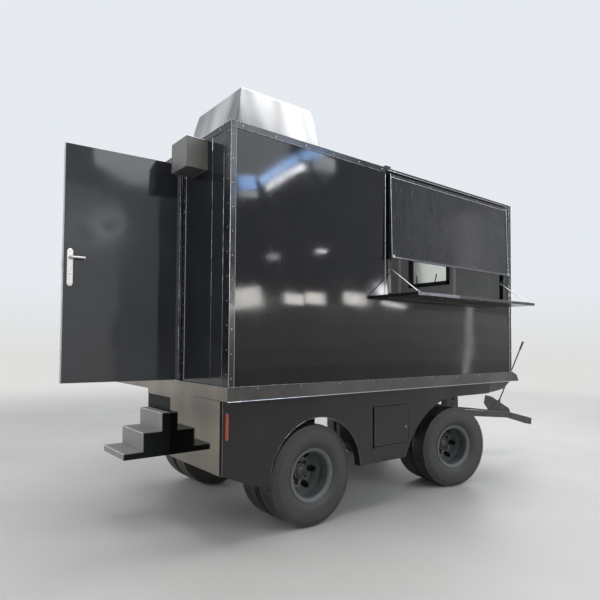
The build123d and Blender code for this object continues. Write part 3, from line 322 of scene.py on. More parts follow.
class Shape:
    """Collects the faces of one piece; every face has the name of its finish."""

    def __init__(self):
        self.points, self.faces, self.mats, self.smooth = [], [], [], []

    def add(self, points, faces, mat, smooth=False, turn=still):
        base = len(self.points)
        self.points += [turn @ Vector(point) for point in points]
        self.faces += [[base + i for i in face] for face in faces]
        self.mats += [mat] * len(faces)
        self.smooth += [smooth] * len(faces)

    def box(self, low, high, mat, turn=still):
        xs, ys, zs = zip(low, high)
        points = [(x, y, z) for z in zs for y in ys for x in xs]
        faces = [(0, 2, 3, 1), (4, 5, 7, 6), (0, 1, 5, 4), (2, 6, 7, 3), (0, 4, 6, 2), (1, 3, 7, 5)]
        self.add(points, faces, mat, turn=turn)

    def grid(self, rows, mat, closed=False, smooth=True, turn=still):
        """Skins rows of points that have the same length; closed joins each row's end to its start."""
        count = len(rows[0])
        faces = []
        for row in range(len(rows) - 1):
            a, b = row * count, (row + 1) * count
            for i in range(count if closed else count - 1):
                j = (i + 1) % count
                faces.append((a + i, a + j, b + j, b + i))
        self.add([p for row in rows for p in row], faces, mat, smooth, turn)

    def capped(self, rows, mat, smooth=True, turn=still, both=True):
        """Skins closed rows and shuts the last one, or both ends, with a flat face."""
        self.grid(rows, mat, True, smooth, turn)
        for row in (rows[0][::-1], rows[-1])[0 if both else 1:]:
            self.add(row, [tuple(range(len(row)))], mat, turn=turn)

    def lathe(self, profile, centre, axis, mat, count=24, closed=False, turn=still):
        """profile rows: distance along the axis, radius."""
        rows = turned_rows(profile, centre, axis, count)
        self.grid(rows + rows[:1] if closed else rows, mat, True, turn=turn)

    def head(self, profile, centre, axis, mat, count, smooth=True):
        """A lathed form with a flat top."""
        self.capped(turned_rows(profile, centre, axis, count), mat, smooth, both=False)

    def rod(self, start, end, radius, mat, count=8, turn=still):
        axis = Vector(end) - Vector(start)
        self.capped(turned_rows([(0, radius), (axis.length, radius)], start, axis, count), mat, turn=turn)

    def rod_x(self, x0, x1, y, z, radius, mat, count=8):
        self.rod((x0, y, z), (x1, y, z), radius, mat, count)

    def rod_y(self, x, y0, y1, z, radius, mat, count=8):
        self.rod((x, y0, z), (x, y1, z), radius, mat, count)

    def rod_z(self, x, y, z0, z1, radius, mat, count=8):
        self.rod((x, y, z0), (x, y, z1), radius, mat, count)

    def rivet(self, place, normal, radius, mat="rivet", rise=0.55, count=8):
        """A domed head standing on a face."""
        high = radius * rise
        rows = [(0, radius), (high * 0.62, radius * 0.8), (high * 0.93, radius * 0.42)]
        self.head(rows, place, normal, mat, count)

    def hex_nut(self, place, axis, across, height, mat="bolt_steel"):
        rows = [(0, across), (height * 0.86, across), (height, across * 0.86)]
        self.head(rows, place, axis, mat, 6, False)

    def bolt(self, place, axis, across, mat="bolt_steel"):
        """A washer with a hexagon head on it."""
        self.head([(0, across * 1.5), (across * 0.22, across * 1.4)], place, axis, mat, 16)
        self.hex_nut(Vector(place) + Vector(axis) * across * 0.22, axis, across, across * 0.75, mat)

    def tube(self, path, radius, mat, count=8):
        """A round bar along a list of points, with mitred corners."""
        path = [Vector(p) for p in path]
        rows = []
        across = (path[1] - path[0]).orthogonal().normalized()
        for i, p in enumerate(path):
            before = (p - path[i - 1]).normalized() if i else (path[1] - p).normalized()
            after = (path[i + 1] - p).normalized() if i + 1 < len(path) else before
            along = (before + after).normalized()
            across = (across - along * across.dot(along)).normalized()
            other = along.cross(across)
            turns = [tau * k / count for k in range(count)]
            rows.append([p + (across * cos(t) + other * sin(t)) * radius for t in turns])
        self.capped(rows, mat)

    def piece(self, name, body, slot, replaces=()):
        """Turns and shifts the shape the way its body stands, and makes the object."""
        turn = Matrix.Translation(origin) @ stance[body]
        mesh = bpy.data.meshes.new(name)
        mesh.from_pydata([turn @ p for p in self.points], [], self.faces)
        used = sorted(set(self.mats))
        for mat in used:
            mesh.materials.append(finish[mat])
        mesh.polygons.foreach_set("material_index", [used.index(m) for m in self.mats])
        mesh.polygons.foreach_set("use_smooth", self.smooth)
        mesh.set_sharp_from_angle(angle=radians(38))
        mesh.update()
        obj = bpy.data.objects.new(name, mesh)
        bpy.context.collection.objects.link(obj)
        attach(obj, body)
        if replaces:
            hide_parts(*replaces)


def spaced(start, end, pitch):
    """Even places from start to end, about a pitch apart."""
    count = max(1, round((end - start) / pitch))
    return [start + (end - start) * i / count for i in range(count + 1)]


def rim(low, high, foot, top, width):
    """The four bars inside the edges of an upright rectangle, each as low, high, foot and top."""
    sides = [(low, low + width, foot, top), (high - width, high, foot, top)]
    return sides + [(low, high, foot, foot + width), (low, high, top - width, top)]


def sheets(wall, gap):
    """The sheets of a wall round its opening, both given as low, high, foot and top."""
    low, high, foot, top = wall
    left, right, sill, head = gap
    sides = [(low, left, foot, top), (right, high, foot, top), (left, right, head, top)]
    return sides + [(left, right, foot, sill)] * (sill > foot)


# Finishes of the carried-over CAD nodes
# rows: a twin's place, its axle's number and side
twins = {"rear_right": (0, -1), "rear_left": (0, 1), "front_right": (1, -1), "front_left": (1, 1)}
cad_finish = {
    "black_paint": ["wall_right", "wall_left", "wall_front"],
    "roof_paint": ["roof"],
    "door_paint": ["door", "wall_rear"],
    "black_trim": ["edge_strips", "hatch_frame"],
    "film": ["flap"],
    "frame_black": ["window_frame"],
    "counter_black": ["counter"],
    "bare_aluminium": ["counter_stays"],
    "glass": ["window_pane"],
    "steel": ["door_handle", "range_hood"],
    "cowl_steel": ["cowl"],
    "vent_grey": ["vent_box"],
    "rail_paint": ["floor"],
    "nose_paint": ["nose"],
    "skirt_paint": ["skirt_right", "skirt_left", "locker_door_right", "locker_door_left"],
    "mirror": ["rear_panel"],
    "stair_paint": ["stair"],
    "red_plastic": ["reflectors"],
    "spring_steel": ["rear_springs", "front_springs"],
    "brushed": ["cooking_range", "bench"],
    "chassis_paint": [
        "locker_boxes", "chassis", "turntable", "bogie_ring", "rear_axle", "front_axle", "bogie", "drawbar",
        "brake_lever",
    ],
    "wheel_paint": [f"wheel_{place}" for place in twins],
    "tyre": [f"tyres_{place}" for place in twins],
}
for mat, nodes_of in cad_finish.items():
    for node in nodes_of:
        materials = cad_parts[node].data.materials
        materials.clear()
        materials.append(finish[mat])


# Tyres with tread
GROOVE_R = 0.4215
PITCHES = 62
# rows: distance from the tyre's middle, radius, up one side of the section
tyre_side = [
    (0.078, 0.203), (0.084, 0.232), (0.0905, 0.24), (0.094, 0.246), (0.1045, 0.262), (0.1115, 0.282),
    (0.1115, 0.2845), (0.1128, 0.2855), (0.115, 0.305), (0.1158, 0.328), (0.1148, 0.35), (0.1118, 0.372),
    (0.1128, 0.3735), (0.112, 0.3775), (0.1095, 0.378), (0.1055, 0.394), (0.101, 0.408), (0.096, 0.4185),
]
# rows: a rib's inner and outer distance from the middle, skew of its blocks, radius lost at its outer
# side, blocks for each pitch, share of the pitch that is gap
ribs = [
    (0.0, 0.017, 0.5, 0.0, 1, 0.17), (0.023, 0.047, -0.5, 0.0006, 1, 0.17),
    (0.053, 0.0945, 0.35, 0.0042, 2, 0.1),
]
# rows: a shoulder bar's corners from the middle, radius, half its angle; on the side wall, then raised
shoulder_bar = [
    (0.1005, 0.4075, 0.01), (0.1072, 0.3895, 0.01), (0.1038, 0.4082, 0.007), (0.1094, 0.3922, 0.007),
]
block_faces = [(4, 5, 7, 6), (0, 1, 5, 4), (2, 6, 7, 3), (0, 4, 6, 2), (1, 3, 7, 5)]


def tyre(shape, centre, axis, marked):
    """One treaded tyre round its centre; the axis points away from the trailer."""
    profile = [(-a, r) for a, r in tyre_side] + [(0, GROOVE_R)] + [(a, r) for a, r in reversed(tyre_side)]
    shape.lathe(profile, centre, axis, "tyre", 96)
    along, first, second = basis(axis)

    def at(out, radius, angle):
        return Vector(centre) + along * out + (first * cos(angle) + second * sin(angle)) * radius

    step = tau / PITCHES
    for inner, outer, skew, drop, parts, gap in ribs:
        half = step * (1 / parts - gap) / 2
        for side in (-1, 1):
            for i in range(PITCHES * parts):
                turn = step / parts * i + (step / 2 if side > 0 else 0)
                corners = []
                for out, sink in ((inner, 0.0), (outer, drop)):
                    lean = skew * step * (out - inner) / (outer - inner)
                    corners += [(side * out, sink, turn + lean + edge) for edge in (-half, half)]
                low = [at(a, GROOVE_R - 0.004 - sink * 2, t) for a, sink, t in corners]
                high = [at(a, TYRE_R - sink, t) for a, sink, t in corners]
                shape.add(low + high, block_faces, "tread_face")
    for side in (-1, 1):
        for i in range(PITCHES * 2):
            bar = [at(side * a, r, step / 2 * i + t) for a, r, half in shoulder_bar for t in (-half, half)]
            shape.add(bar, block_faces, "tyre")
    if marked:
        shape.lathe([(-0.0885, TYRE_R - 0.0033), (-0.08, TYRE_R - 0.0025)], centre, axis, "yellow_mark", 96)


# Wheels: a dished disc with six hand holes on each side of the twin's middle, rims, hub and drum
HUB_R = 0.074
STUD_R = 0.102
HOLE_R = 0.03
HOLE_PCR = 0.142
HOLE_BAND = (0.106, 0.178)
DISC_T = 0.012
DISH_SLOPE = 2.095
DISH_BEND = 0.004
# rows: distance from the twin's middle, radius, once round the section of the outer rim
rim_line = [
    (0.2, 0.1925), (0.2095, 0.1965), (0.2165, 0.2045), (0.2205, 0.215), (0.2225, 0.2285), (0.2205, 0.23),
    (0.217, 0.228), (0.215, 0.216), (0.212, 0.204), (0.2, 0.2028), (0.07, 0.2028), (0.058, 0.204),
    (0.055, 0.216), (0.053, 0.228), (0.0495, 0.23), (0.0475, 0.2285), (0.049, 0.195), (0.075, 0.1905),
    (0.095, 0.186), (0.105, 0.1855),
]
hub_line = [
    (DISC_T, 0.086), (0.017, 0.086), (0.019, 0.078), (0.05, HUB_R), (0.056, 0.07), (0.058, 0.052),
    (0.066, 0.048), (0.07, 0.04), (0.071, 0.001),
]
drum_line = [
    (-DISC_T, 0.08), (-DISC_T, 0.126), (-0.016, 0.128), (-0.04, 0.128), (-0.042, 0.124), (-0.11, 0.124),
    (-0.112, 0.128), (-0.13, 0.128), (-0.132, 0.126), (-0.132, 0.034),
]


def dish(radius):
    """How far the dished disc's face stands from the twin's middle."""
    return DISC_T + DISH_SLOPE * DISH_BEND * log(1 + exp((radius - HOLE_PCR) / DISH_BEND))


def hole_outline():
    """The sixth of the holes' band round one hole, as points across and up from the wheel's middle."""
    inner, outer = HOLE_BAND
    steps = [(outer - inner) * i / 8 for i in range(8)]
    spread = [pi / 6 * (i / 4 - 1) for i in range(9)]
    outline = [(outer, t) for t in spread[:8]] + [(outer - step, spread[8]) for step in steps]
    outline += [(inner, t) for t in spread[:0:-1]] + [(inner + step, spread[0]) for step in steps]
    return [Vector((r * cos(t), r * sin(t))) for r, t in outline]


def dished_disc(shape, at, flip):
    """A disc with its hand holes; at(distance from the middle, radius, angle) gives a point of it."""
    for sunk in (0, DISC_T):
        for radii in ((0.0375, HUB_R, 0.09, HOLE_BAND[0]), (HOLE_BAND[1], 0.182, 0.1875)):
            rows = [[at(flip * (dish(r) - sunk), r, tau * i / 48) for i in range(48)] for r in radii]
            shape.grid(rows, "wheel_paint", True)
    band = hole_outline()
    centre = Vector((HOLE_PCR, 0))
    ring = [centre + (p - centre).normalized() * HOLE_R for p in band]
    for hole in range(6):
        walls = []
        for sunk in (0, DISC_T):
            rows = []
            for part in (0, 0.3, 0.6, 0.85, 1):
                flat = [a.lerp(b, part) for a, b in zip(band, ring)]
                turns = [tau * hole / 6 + p.angle_signed(Vector((1, 0))) for p in flat]
                rows.append([at(flip * (dish(p.length) - sunk), p.length, t) for p, t in zip(flat, turns)])
            shape.grid(rows, "wheel_paint", True)
            walls.append(rows[-1])
        shape.grid(walls, "wheel_paint", True)


for place, (axle, side) in twins.items():
    middle = Vector((AXLE_X[axle], side * DUAL_Y, TYRE_R))
    axis = Vector((0, side, 0))
    tyres = Shape()
    for twin in (-TWIN, TWIN):
        tyre(tyres, (middle.x, middle.y + side * twin, TYRE_R), axis, axle == 0 and twin < 0)
    tyres.piece(f"treaded_tyres_{place}", f"twin_{place}", "tyre", [f"tyres_{place}"])

    def on_wheel(out, radius, angle):
        return middle + axis * out + Vector((radius * cos(angle), 0, radius * sin(angle)))

    wheel = Shape()
    for flip in (-1, 1):
        dished_disc(wheel, on_wheel, flip)
        wheel.lathe([(flip * a, r) for a, r in rim_line], middle, axis, "wheel_paint", 72, closed=True)
    wheel.lathe(hub_line, middle, axis, "hub_paint", 40)
    wheel.lathe(drum_line, middle, axis, "chassis_paint", 48)
    stud = [(0.034, 0.0115), (0.045, 0.011), (0.047, 0.004)]
    for i in range(6):
        turn = radians(60 * i + 30)
        foot = on_wheel(0, STUD_R, turn)
        wheel.lathe([(DISC_T, 0.024), (0.0165, 0.022)], foot, axis, "hub_paint", 14)
        wheel.hex_nut(on_wheel(0.0145, STUD_R, turn), axis, 0.0185, 0.02)
        wheel.lathe(stud, foot, axis, "bolt_steel", 12)
    for i in range(8):
        wheel.hex_nut(on_wheel(0.0575, 0.062, radians(45 * i + 22)), axis, 0.0062, 0.006)
    bends = ((0.118, 0.178), (0.15, 0.172), (0.186, 0.172))
    stem = [on_wheel(out, radius, radians(118)) for out, radius in bends]
    wheel.tube(stem, 0.0042, "rubber")
    wheel.rod(stem[-1], stem[-1] + axis * 0.01, 0.0052, "rivet")
    wheel.piece(f"dished_wheels_{place}", f"twin_{place}", "wheel_paint", [f"wheel_{place}"])


# Leaf springs: curved leaves with eyes, clamp plates and round U-bolts
LEAF_T = 0.014
LEAF_N = 4
LEAF_STEP = 0.105
SPRING_W = 0.07
SPRING_RISE = 0.12
AXLE_HALF = 0.045
PLATE_HALF = 0.08
CLIP_AT = 0.3
BOLT_AT = 0.062
LEG_OUT = 0.044
spring_r = (SPRING_HALF**2 + SPRING_RISE**2) / (2 * SPRING_RISE)
pack_top = TYRE_R + AXLE_HALF + LEAF_N * LEAF_T
eye_z = pack_top + SPRING_RISE
clamp_low = TYRE_R - AXLE_HALF - 0.012


def leaf_shape(shape, number, mid_x, mid_y):
    """One curved leaf; the ends of all but the main leaf are drawn in."""
    reach = asin((SPRING_HALF - number * LEAF_STEP) / spring_r)
    upper, lower = spring_r + number * LEAF_T + 0.0006, spring_r + (number + 1) * LEAF_T - 0.0006
    half = SPRING_W / 2 - 0.001
    soft = 0.004
    section = [
        (upper, -half), (upper, half), (lower - soft, half), (lower, half - soft), (lower, soft - half),
        (lower - soft, -half),
    ]
    middle_z = pack_top + spring_r
    rows = []
    for i in range(19):
        t = reach * (i / 9 - 1)
        pinch = 0.72 if i in (0, 18) and number else 1.0
        rows.append([(mid_x + r * sin(t), mid_y + y * pinch, middle_z - r * cos(t)) for r, y in section])
    shape.capped(rows, "spring_steel")


# rows: name, axle's place, spring's distance from the centreline, body
for label, axle_x, spring_y, body in (
    ("rear", AXLE_X[0], SPRING_Y[0], "trailer"), ("front", AXLE_X[1], SPRING_Y[1], "steering_bogie"),
):
    springs = Shape()
    for mid_y in (-spring_y, spring_y):
        for number in range(LEAF_N):
            leaf_shape(springs, number, axle_x, mid_y)
        for end in (-1, 1):
            eye_x = axle_x + end * SPRING_HALF
            ring = [(-0.035, 0.02), (0.035, 0.02), (0.035, 0.009), (-0.035, 0.009)]
            springs.lathe(ring, (eye_x, mid_y, eye_z), (0, 1, 0), "spring_steel", closed=True)
            springs.rod_y(eye_x, mid_y - 0.05, mid_y + 0.05, eye_z, 0.0085, "bolt_steel", 14)
            for face in (-1, 1):
                springs.bolt((eye_x, mid_y + face * 0.047, eye_z), (0, face, 0), 0.0135)
            # a rebound clip round the leaves, as rows of low and high y and the foot of each bar
            clip_x = axle_x + end * CLIP_AT
            lean = asin(CLIP_AT / spring_r)
            clip_z = pack_top + spring_r - spring_r * cos(lean)
            clip = turned((clip_x, mid_y, clip_z), (0, 1, 0), degrees(-end * lean))
            for y0, y1, foot in ((-0.04, -0.035, -0.031), (0.035, 0.04, -0.031), (-0.04, 0.04, 0.001)):
                low = (clip_x - 0.014, mid_y + y0, clip_z + foot)
                springs.box(low, (clip_x + 0.014, mid_y + y1, clip_z + 0.005), "chassis_paint", clip)
            # U-bolt over the pack's clamp plate, nuts under the axle
            bolt_x = axle_x + end * BOLT_AT
            arc = [pi * step / 8 for step in range(9)]
            bend = [(bolt_x, mid_y - LEG_OUT * cos(t), pack_top + 0.006 + 0.015 * sin(t)) for t in arc]
            feet = [(bolt_x, mid_y + face * LEG_OUT, clamp_low - 0.024) for face in (-1, 1)]
            springs.tube([feet[0], *bend, feet[1]], 0.0085, "bolt_steel", 12)
            for face in (-1, 1):
                springs.bolt((bolt_x, mid_y + face * LEG_OUT, clamp_low), (0, 0, -1), 0.0145)
        for foot, thick in ((clamp_low, 0.012), (pack_top, 0.01)):
            low = (axle_x - PLATE_HALF, mid_y - 0.054, foot)
            high = (axle_x + PLATE_HALF, mid_y + 0.054, foot + thick)
            springs.box(low, high, "chassis_paint")
    springs.piece(f"{label}_leaf_springs", body, "spring_steel", [f"{label}_springs"])


# Corner strips and roof edges: pale lips and lines that are painted highlights, rivets
CORNER_RIVET = 0.0045
ROOF_RIVET = 0.0062
low_lip = ROOF_Z - STRIP_SIDE - 0.001
trim = Shape()
for side in (-1, 1):
    wall_y = side * (HALF_W + STRIP_T)
    for edge_x, out in ((-STRIP_T, -1), (BODY_L + STRIP_T, 1)):
        for z in spaced(FLOOR_Z + 0.06, ROOF_Z - 0.1, 0.19):
            trim.rivet((edge_x - out * 0.022, wall_y, z), (0, side, 0), CORNER_RIVET)
            trim.rivet((edge_x, side * (HALF_W - 0.03), z + 0.03), (out, 0, 0), CORNER_RIVET)
        for lip_x in (edge_x - out * 0.0015, edge_x - out * (STRIP_SIDE + 0.001)):
            trim.rod_z(lip_x, wall_y, FLOOR_Z + 0.002, ROOF_Z - 0.002, 0.0016, "bright_edge")
        inner_y = side * (HALF_W - STRIP_END + 0.001)
        trim.rod_z(edge_x, inner_y, FLOOR_Z + 0.002, ROOF_Z - 0.05, 0.002, "edge_shine")
    for x in spaced(0.1, BODY_L - 0.1, 0.31):
        trim.rivet((x, wall_y, ROOF_Z - 0.024), (0, side, 0), ROOF_RIVET)
    for lip_z in (ROOF_Z + 0.0015, low_lip):
        trim.rod_x(0.0, BODY_L, wall_y, lip_z, 0.0022, "edge_shine")
for end, out in ((-STRIP_T, -1), (BODY_L + STRIP_T, 1)):
    for y in spaced(-HALF_W + 0.16, HALF_W - 0.16, 0.31):
        trim.rivet((end, y, ROOF_Z - 0.024), (out, 0, 0), ROOF_RIVET)
    trim.rod_y(end, -HALF_W, HALF_W, ROOF_Z + 0.001, 0.0034, "bright_edge")
    trim.rod_y(end, -HALF_W, HALF_W, low_lip, 0.002, "edge_shine")
# a short stop on the roof's edge over the hatch's rear end, with a painted highlight on its top
trim.box((1.66, -HALF_W - 0.006, ROOF_Z + 0.003), (1.73, -HALF_W + 0.022, ROOF_Z + 0.019), "black_trim")
trim.box((1.668, -HALF_W - 0.007, ROOF_Z + 0.019), (1.722, -HALF_W + 0.02, ROOF_Z + 0.022), "bright_edge")
trim.piece("edge_rivets", "trailer", "black_trim")

# Roof: joint strips over the sheets' seams, with rivets
roof = Shape()
for x in (1.29, 2.58):
    roof.box((x - 0.022, -HALF_W + 0.05, ROOF_Z), (x + 0.022, HALF_W - 0.05, ROOF_Z + 0.0025), "roof_paint")
    for y in spaced(-HALF_W + 0.08, HALF_W - 0.08, 0.115):
        for off in (-0.012, 0.012):
            roof.rivet((x + off, y, ROOF_Z + 0.0025), (0, 0, 1), CORNER_RIVET)
roof.piece("roof_joints", "trailer", "black_trim")

# Floor rail: pale lines on its top and bottom edges as painted highlights, with rivets, and seams near the
# corners
rail = Shape()
rail_y, rail_front = HALF_W + RAIL_OUT, BODY_L + RAIL_OUT
rail_low = FLOOR_Z - RAIL_H
for side in (-1, 1):
    face_y = side * rail_y
    rail.rod_x(-RAIL_OUT, rail_front, face_y, FLOOR_Z - 0.001, 0.0028, "edge_shine")
    rail.rod_x(-RAIL_OUT, rail_front, face_y, rail_low + 0.002, 0.0034, "bright_edge")
    for x in spaced(0.25, BODY_L - 0.25, 0.42):
        rail.rivet((x, face_y, FLOOR_Z - 0.018), (0, side, 0), 0.005)
    for x in (0.07, BODY_L - 0.07):
        rail.rod_z(x, face_y, rail_low + 0.004, FLOOR_Z - 0.004, 0.0014, "rubber", 6)
rail.rod_y(-RAIL_OUT, -rail_y, rail_y, FLOOR_Z - 0.001, 0.0028, "bright_edge")
rail.rod_y(-RAIL_OUT, -rail_y, rail_y, rail_low + 0.002, 0.0034, "edge_shine")
rail.piece("rail_edges", "trailer", "rail_paint")

# Nose: pale lines of painted sheen on the edges of its folded sheet, as rows of distance before the body, drop
# from the floor, radius
nose = Shape()
for ahead, drop, radius in (
    (RAIL_OUT + 0.001, 0.002, 0.0024), (0.1, 0.036, 0.0022), (0.147, 0.103, 0.0024),
):
    nose.rod_y(BODY_L + ahead, -rail_y + 0.002, rail_y - 0.002, FLOOR_Z - drop, radius, "edge_shine")
nose.piece("nose_edges", "trailer", "skirt_paint")

# Cowl: dark bolts round its flange, sealant at its foot
cowl = Shape()
BOLT_IN, BOLT_PITCH = 0.02, 0.098
flange_bolts = [(x, y) for x in spaced(COWL_X[0] + 0.03, COWL_X[1] - 0.03, BOLT_PITCH)
                for y in (COWL_Y[0] + BOLT_IN, COWL_Y[1] - BOLT_IN)]
flange_bolts += [(x, y) for y in spaced(COWL_Y[0] + 0.118, COWL_Y[1] - 0.118, BOLT_PITCH)
                 for x in (COWL_X[0] + BOLT_IN, COWL_X[1] - BOLT_IN)]
for x, y in flange_bolts:
    cowl.bolt((x, y, FLANGE_Z), (0, 0, 1), 0.0068, "dark_bolt")
for y in (COWL_Y[0] - 0.001, COWL_Y[1] + 0.001):
    cowl.rod_x(*COWL_X, y, FLANGE_Z - 0.002, 0.0028, "rubber")
for x in (COWL_X[0] - 0.001, COWL_X[1] + 0.001):
    cowl.rod_y(x, *COWL_Y, FLANGE_Z - 0.002, 0.0028, "rubber")
cowl.piece("cowl_bolts", "trailer", "steel")

# Vent box: folded edges, pale lines on its top and bottom edges as painted highlights, screws and a dark opening
# with bars underneath
vent = Shape()
vx, (vy0, vy1), (vz0, vz1) = -0.182, (-0.845, -0.58), (2.915, 3.15)
for y in (vy0, vy1):
    vent.rod_z(vx, y, vz0 + 0.002, vz1 - 0.002, 0.0022, "vent_grey")
    vent.rod_x(vx, 0.0, y, vz1, 0.0026, "bright_edge")
vent.rod_y(vx, vy0, vy1, vz1, 0.0026, "bright_edge")
vent.rod_y(vx, vy0, vy1, vz0, 0.002, "edge_shine")
vent.box((vx + 0.02, vy0 + 0.02, vz0 - 0.0015), (-0.02, vy1 - 0.02, vz0 + 0.001), "rubber")
for y in spaced(vy0 + 0.035, vy1 - 0.035, 0.025):
    vent.box((vx + 0.018, y - 0.003, vz0 - 0.006), (-0.018, y + 0.003, vz0 - 0.001), "vent_grey")
for z in (vz0 + 0.03, vz1 - 0.03):
    for y, out in ((vy0, -1), (vy1, 1)):
        vent.rivet((-0.016, y, z), (0, out, 0), 0.0045)
vent.piece("vent_trim", "trailer", "bare_aluminium")

# Hatch flap: rim strips with painted highlight lines on their edges, pale foot strip with round ends, inner
# sheet
flap = Shape()
fy = -PANEL_OUT - FLAP_T
(x0, x1), (z0, z1) = FLAP_X, FLAP_Z
for low_x in (x0, x1 - 0.02):
    flap.box((low_x, fy - 0.003, z0), (low_x + 0.02, fy, z1), "black_trim")
flap.box((x0, fy - 0.005, z0 - 0.002), (x1, fy, z0 + 0.014), "counter_lip")
flap.box((x0, fy - 0.003, z1 - 0.03), (x1, fy, z1), "black_trim")
flap.rod_x(x0, x1, fy - 0.004, z1 - 0.031, 0.003, "bright_edge")
flap.rod_z(x0 + 0.002, fy - 0.003, z0, z1, 0.0026, "bright_edge")
flap.rod_z(x1 - 0.002, fy - 0.003, z0, z1, 0.0024, "bright_edge")
for x in (x0 + 0.014, x1 - 0.014):
    flap.rod_y(x, fy + 0.002, fy - 0.016, z0 + 0.012, 0.0145, "white_edge", 20)
for x in spaced(x0 + 0.05, x1 - 0.05, 0.27):
    flap.rivet((x, fy - 0.003, z1 - 0.015), (0, -1, 0), 0.0045)
flap.box((x0 + 0.03, fy + FLAP_T, z0 + 0.02), (x1 - 0.03, fy + FLAP_T + 0.002, z1 - 0.04), "lining")
flap.piece("flap_trim", "hatch_flap", "black_trim")

# Gutter on the wall above the flap with a painted highlight on its edge, seam strip at the flap's rear edge
# drawn as a painted highlight, seal beside the hatch
gutter = Shape()
seal_z = (HATCH_Z[0] + 0.3, HATCH_Z[1] - 0.1)
gutter.box((x0 - 0.02, -HALF_W - 0.024, z1 + 0.028), (x1 + 0.02, -HALF_W - 0.003, z1 + 0.032), "black_trim")
gutter.rod_x(x0 - 0.02, x1 + 0.02, -HALF_W - 0.023, z1 + 0.032, 0.0034, "bright_edge")
gutter.rod_z(x0 - 0.03, -HALF_W - 0.002, HATCH_Z[0] - 0.005, z1, 0.003, "bright_edge")
for low_x, high_x in ((HATCH_X[0] - 0.014, HATCH_X[0] - 0.002), (HATCH_X[1] + 0.002, HATCH_X[1] + 0.01)):
    gutter.box((low_x, -HALF_W - 0.0065, seal_z[0]), (high_x, -HALF_W - 0.004, seal_z[1]), "rubber")
gutter.piece("hatch_gutter", "trailer", "black_trim")

# Counter, made standing shut: lip along its outer edge with a line and rivets of painted sheen, ribbed steel
# top, end caps
counter = Shape()
top_y = fy + FLAP_T
c0, c1 = COUNTER_X
cz = HATCH_Z[0]
c_edge = cz + COUNTER_W
lip_end = c0 + 0.62
for low_x, high_x, mat in ((c0 - 0.001, lip_end, "counter_lip"), (lip_end, c1 + 0.001, "counter_black")):
    counter.box((low_x, fy - 0.001, c_edge - 0.001), (high_x, top_y + 0.002, c_edge + 0.003), mat)
counter.rod_x(lip_end, c1, top_y + 0.001, c_edge + 0.002, 0.0022, "edge_shine")
counter.box((c0, top_y, cz + 0.012), (c1, top_y + 0.0015, c_edge), "brushed")
for z in spaced(cz + 0.045, c_edge - 0.035, 0.055):
    counter.rod_x(c0 + 0.03, c1 - 0.03, top_y + 0.0012, z, 0.0022, "brushed", 6)
for edge in (c0 - 0.0008, c1 - 0.0032):
    counter.box((edge, fy - 0.0005, cz + 0.01), (edge + 0.004, top_y + 0.0005, c_edge), "counter_black")
for x in spaced(c0 + 0.1, c1 - 0.1, 0.3):
    counter.rivet((x, fy, c_edge - 0.02), (0, -1, 0), 0.0042, "edge_shine")
# the stays' ends: sleeves at their heads, pins at their feet; laid out with the counter down
shut = stance["hatch_counter"].inverted()
for x in (1.762, 3.658):
    counter.rod((x, -1.179, 2.264), (x, -1.2, 2.2487), 0.0078, "bare_aluminium", 12, shut)
    counter.rod((x - 0.011, -1.505, 2.027), (x + 0.011, -1.505, 2.027), 0.0065, "bolt_steel", 12, shut)
counter.piece("counter_edge", "hatch_counter", "black_trim")

# Plates on the jambs where the counter's stays end
jamb = Shape()
for x, out in ((HATCH_X[0], 1), (HATCH_X[1], -1)):
    jamb.box((x, -1.196, 2.238), (x + out * 0.004, -1.16, 2.292), "black_trim")
    for z in (2.284, 2.246):
        jamb.rivet((x + out * 0.004, -1.178, z), (out, 0, 0), 0.004)
jamb.piece("stay_plates", "trailer", "black_trim")

# Window: frame inside and rubber outside round the pane, and two latch handles
window = Shape()
wx = BODY_L - WALL_T
(wy0, wy1), (wz0, wz1) = WINDOW_Y, WINDOW_Z
# rows: low and high x of a rim, how far it laps over the wall, its width, finish
for low_x, high_x, lap, width, mat in (
    (wx - 0.008, wx, 0.01, 0.052, "frame_black"), (BODY_L, BODY_L + 0.006, 0.014, 0.04, "rubber"),
):
    for low_y, high_y, foot, top in rim(wy0 - lap, wy1 + lap, wz0 - lap, wz1 + lap, width):
        window.box((low_x, low_y, foot), (high_x, high_y, top), mat)
# rows: where a latch handle stands across the window, how far its tip leans over
for y, lean in ((0.134, 0.0), (-0.167, -0.032)):
    window.box((wx - 0.02, y - 0.011, wz0 - 0.006), (wx - 0.008, y + 0.011, wz0 + 0.03), "frame_black")
    grip = [(wx - 0.016, y, wz0 + 0.006), (wx - 0.028, y, wz0 + 0.03), (wx - 0.03, y + lean, wz0 + 0.142)]
    window.tube(grip, 0.0075, "frame_black")
window.piece("window_fittings", "trailer", "bare_aluminium")

# Kitchen lining: wall and roof sheets with joint strips, floor sheet
lining = Shape()
SHEET = 0.0016
FLUE_X, FLUE_Y = 1.02, -0.46
inner_x0, inner_x1 = WALL_T, BODY_L - WALL_T
inner_y = HALF_W - WALL_T
ceiling = ROOF_Z - 0.045
hatch_gap = (HATCH_X[0] - 0.002, HATCH_X[1] + 0.002, HATCH_Z[0] - 0.002, HATCH_Z[1] + 0.002)
window_gap = (WINDOW_Y[0] - 0.012, WINDOW_Y[1] + 0.012, WINDOW_Z[0] - 0.012, WINDOW_Z[1] + 0.012)
door_gap = (DOORWAY_Y[0] - 0.002, DOORWAY_Y[1] + 0.002, FLOOR_Z, DOORWAY_TOP + 0.002)
lining.box((inner_x0, inner_y - SHEET, FLOOR_Z), (inner_x1, inner_y, ceiling), "lining")
for low, high, foot, top in sheets((inner_x0, inner_x1, FLOOR_Z, ceiling), hatch_gap):
    lining.box((low, -inner_y, foot), (high, -inner_y + SHEET, top), "lining")
for low_x, gap in ((inner_x1 - SHEET, window_gap), (inner_x0, door_gap)):
    for low, high, foot, top in sheets((-inner_y, inner_y, FLOOR_Z, ceiling), gap):
        lining.box((low_x, low, foot), (low_x + SHEET, high, top), "lining")
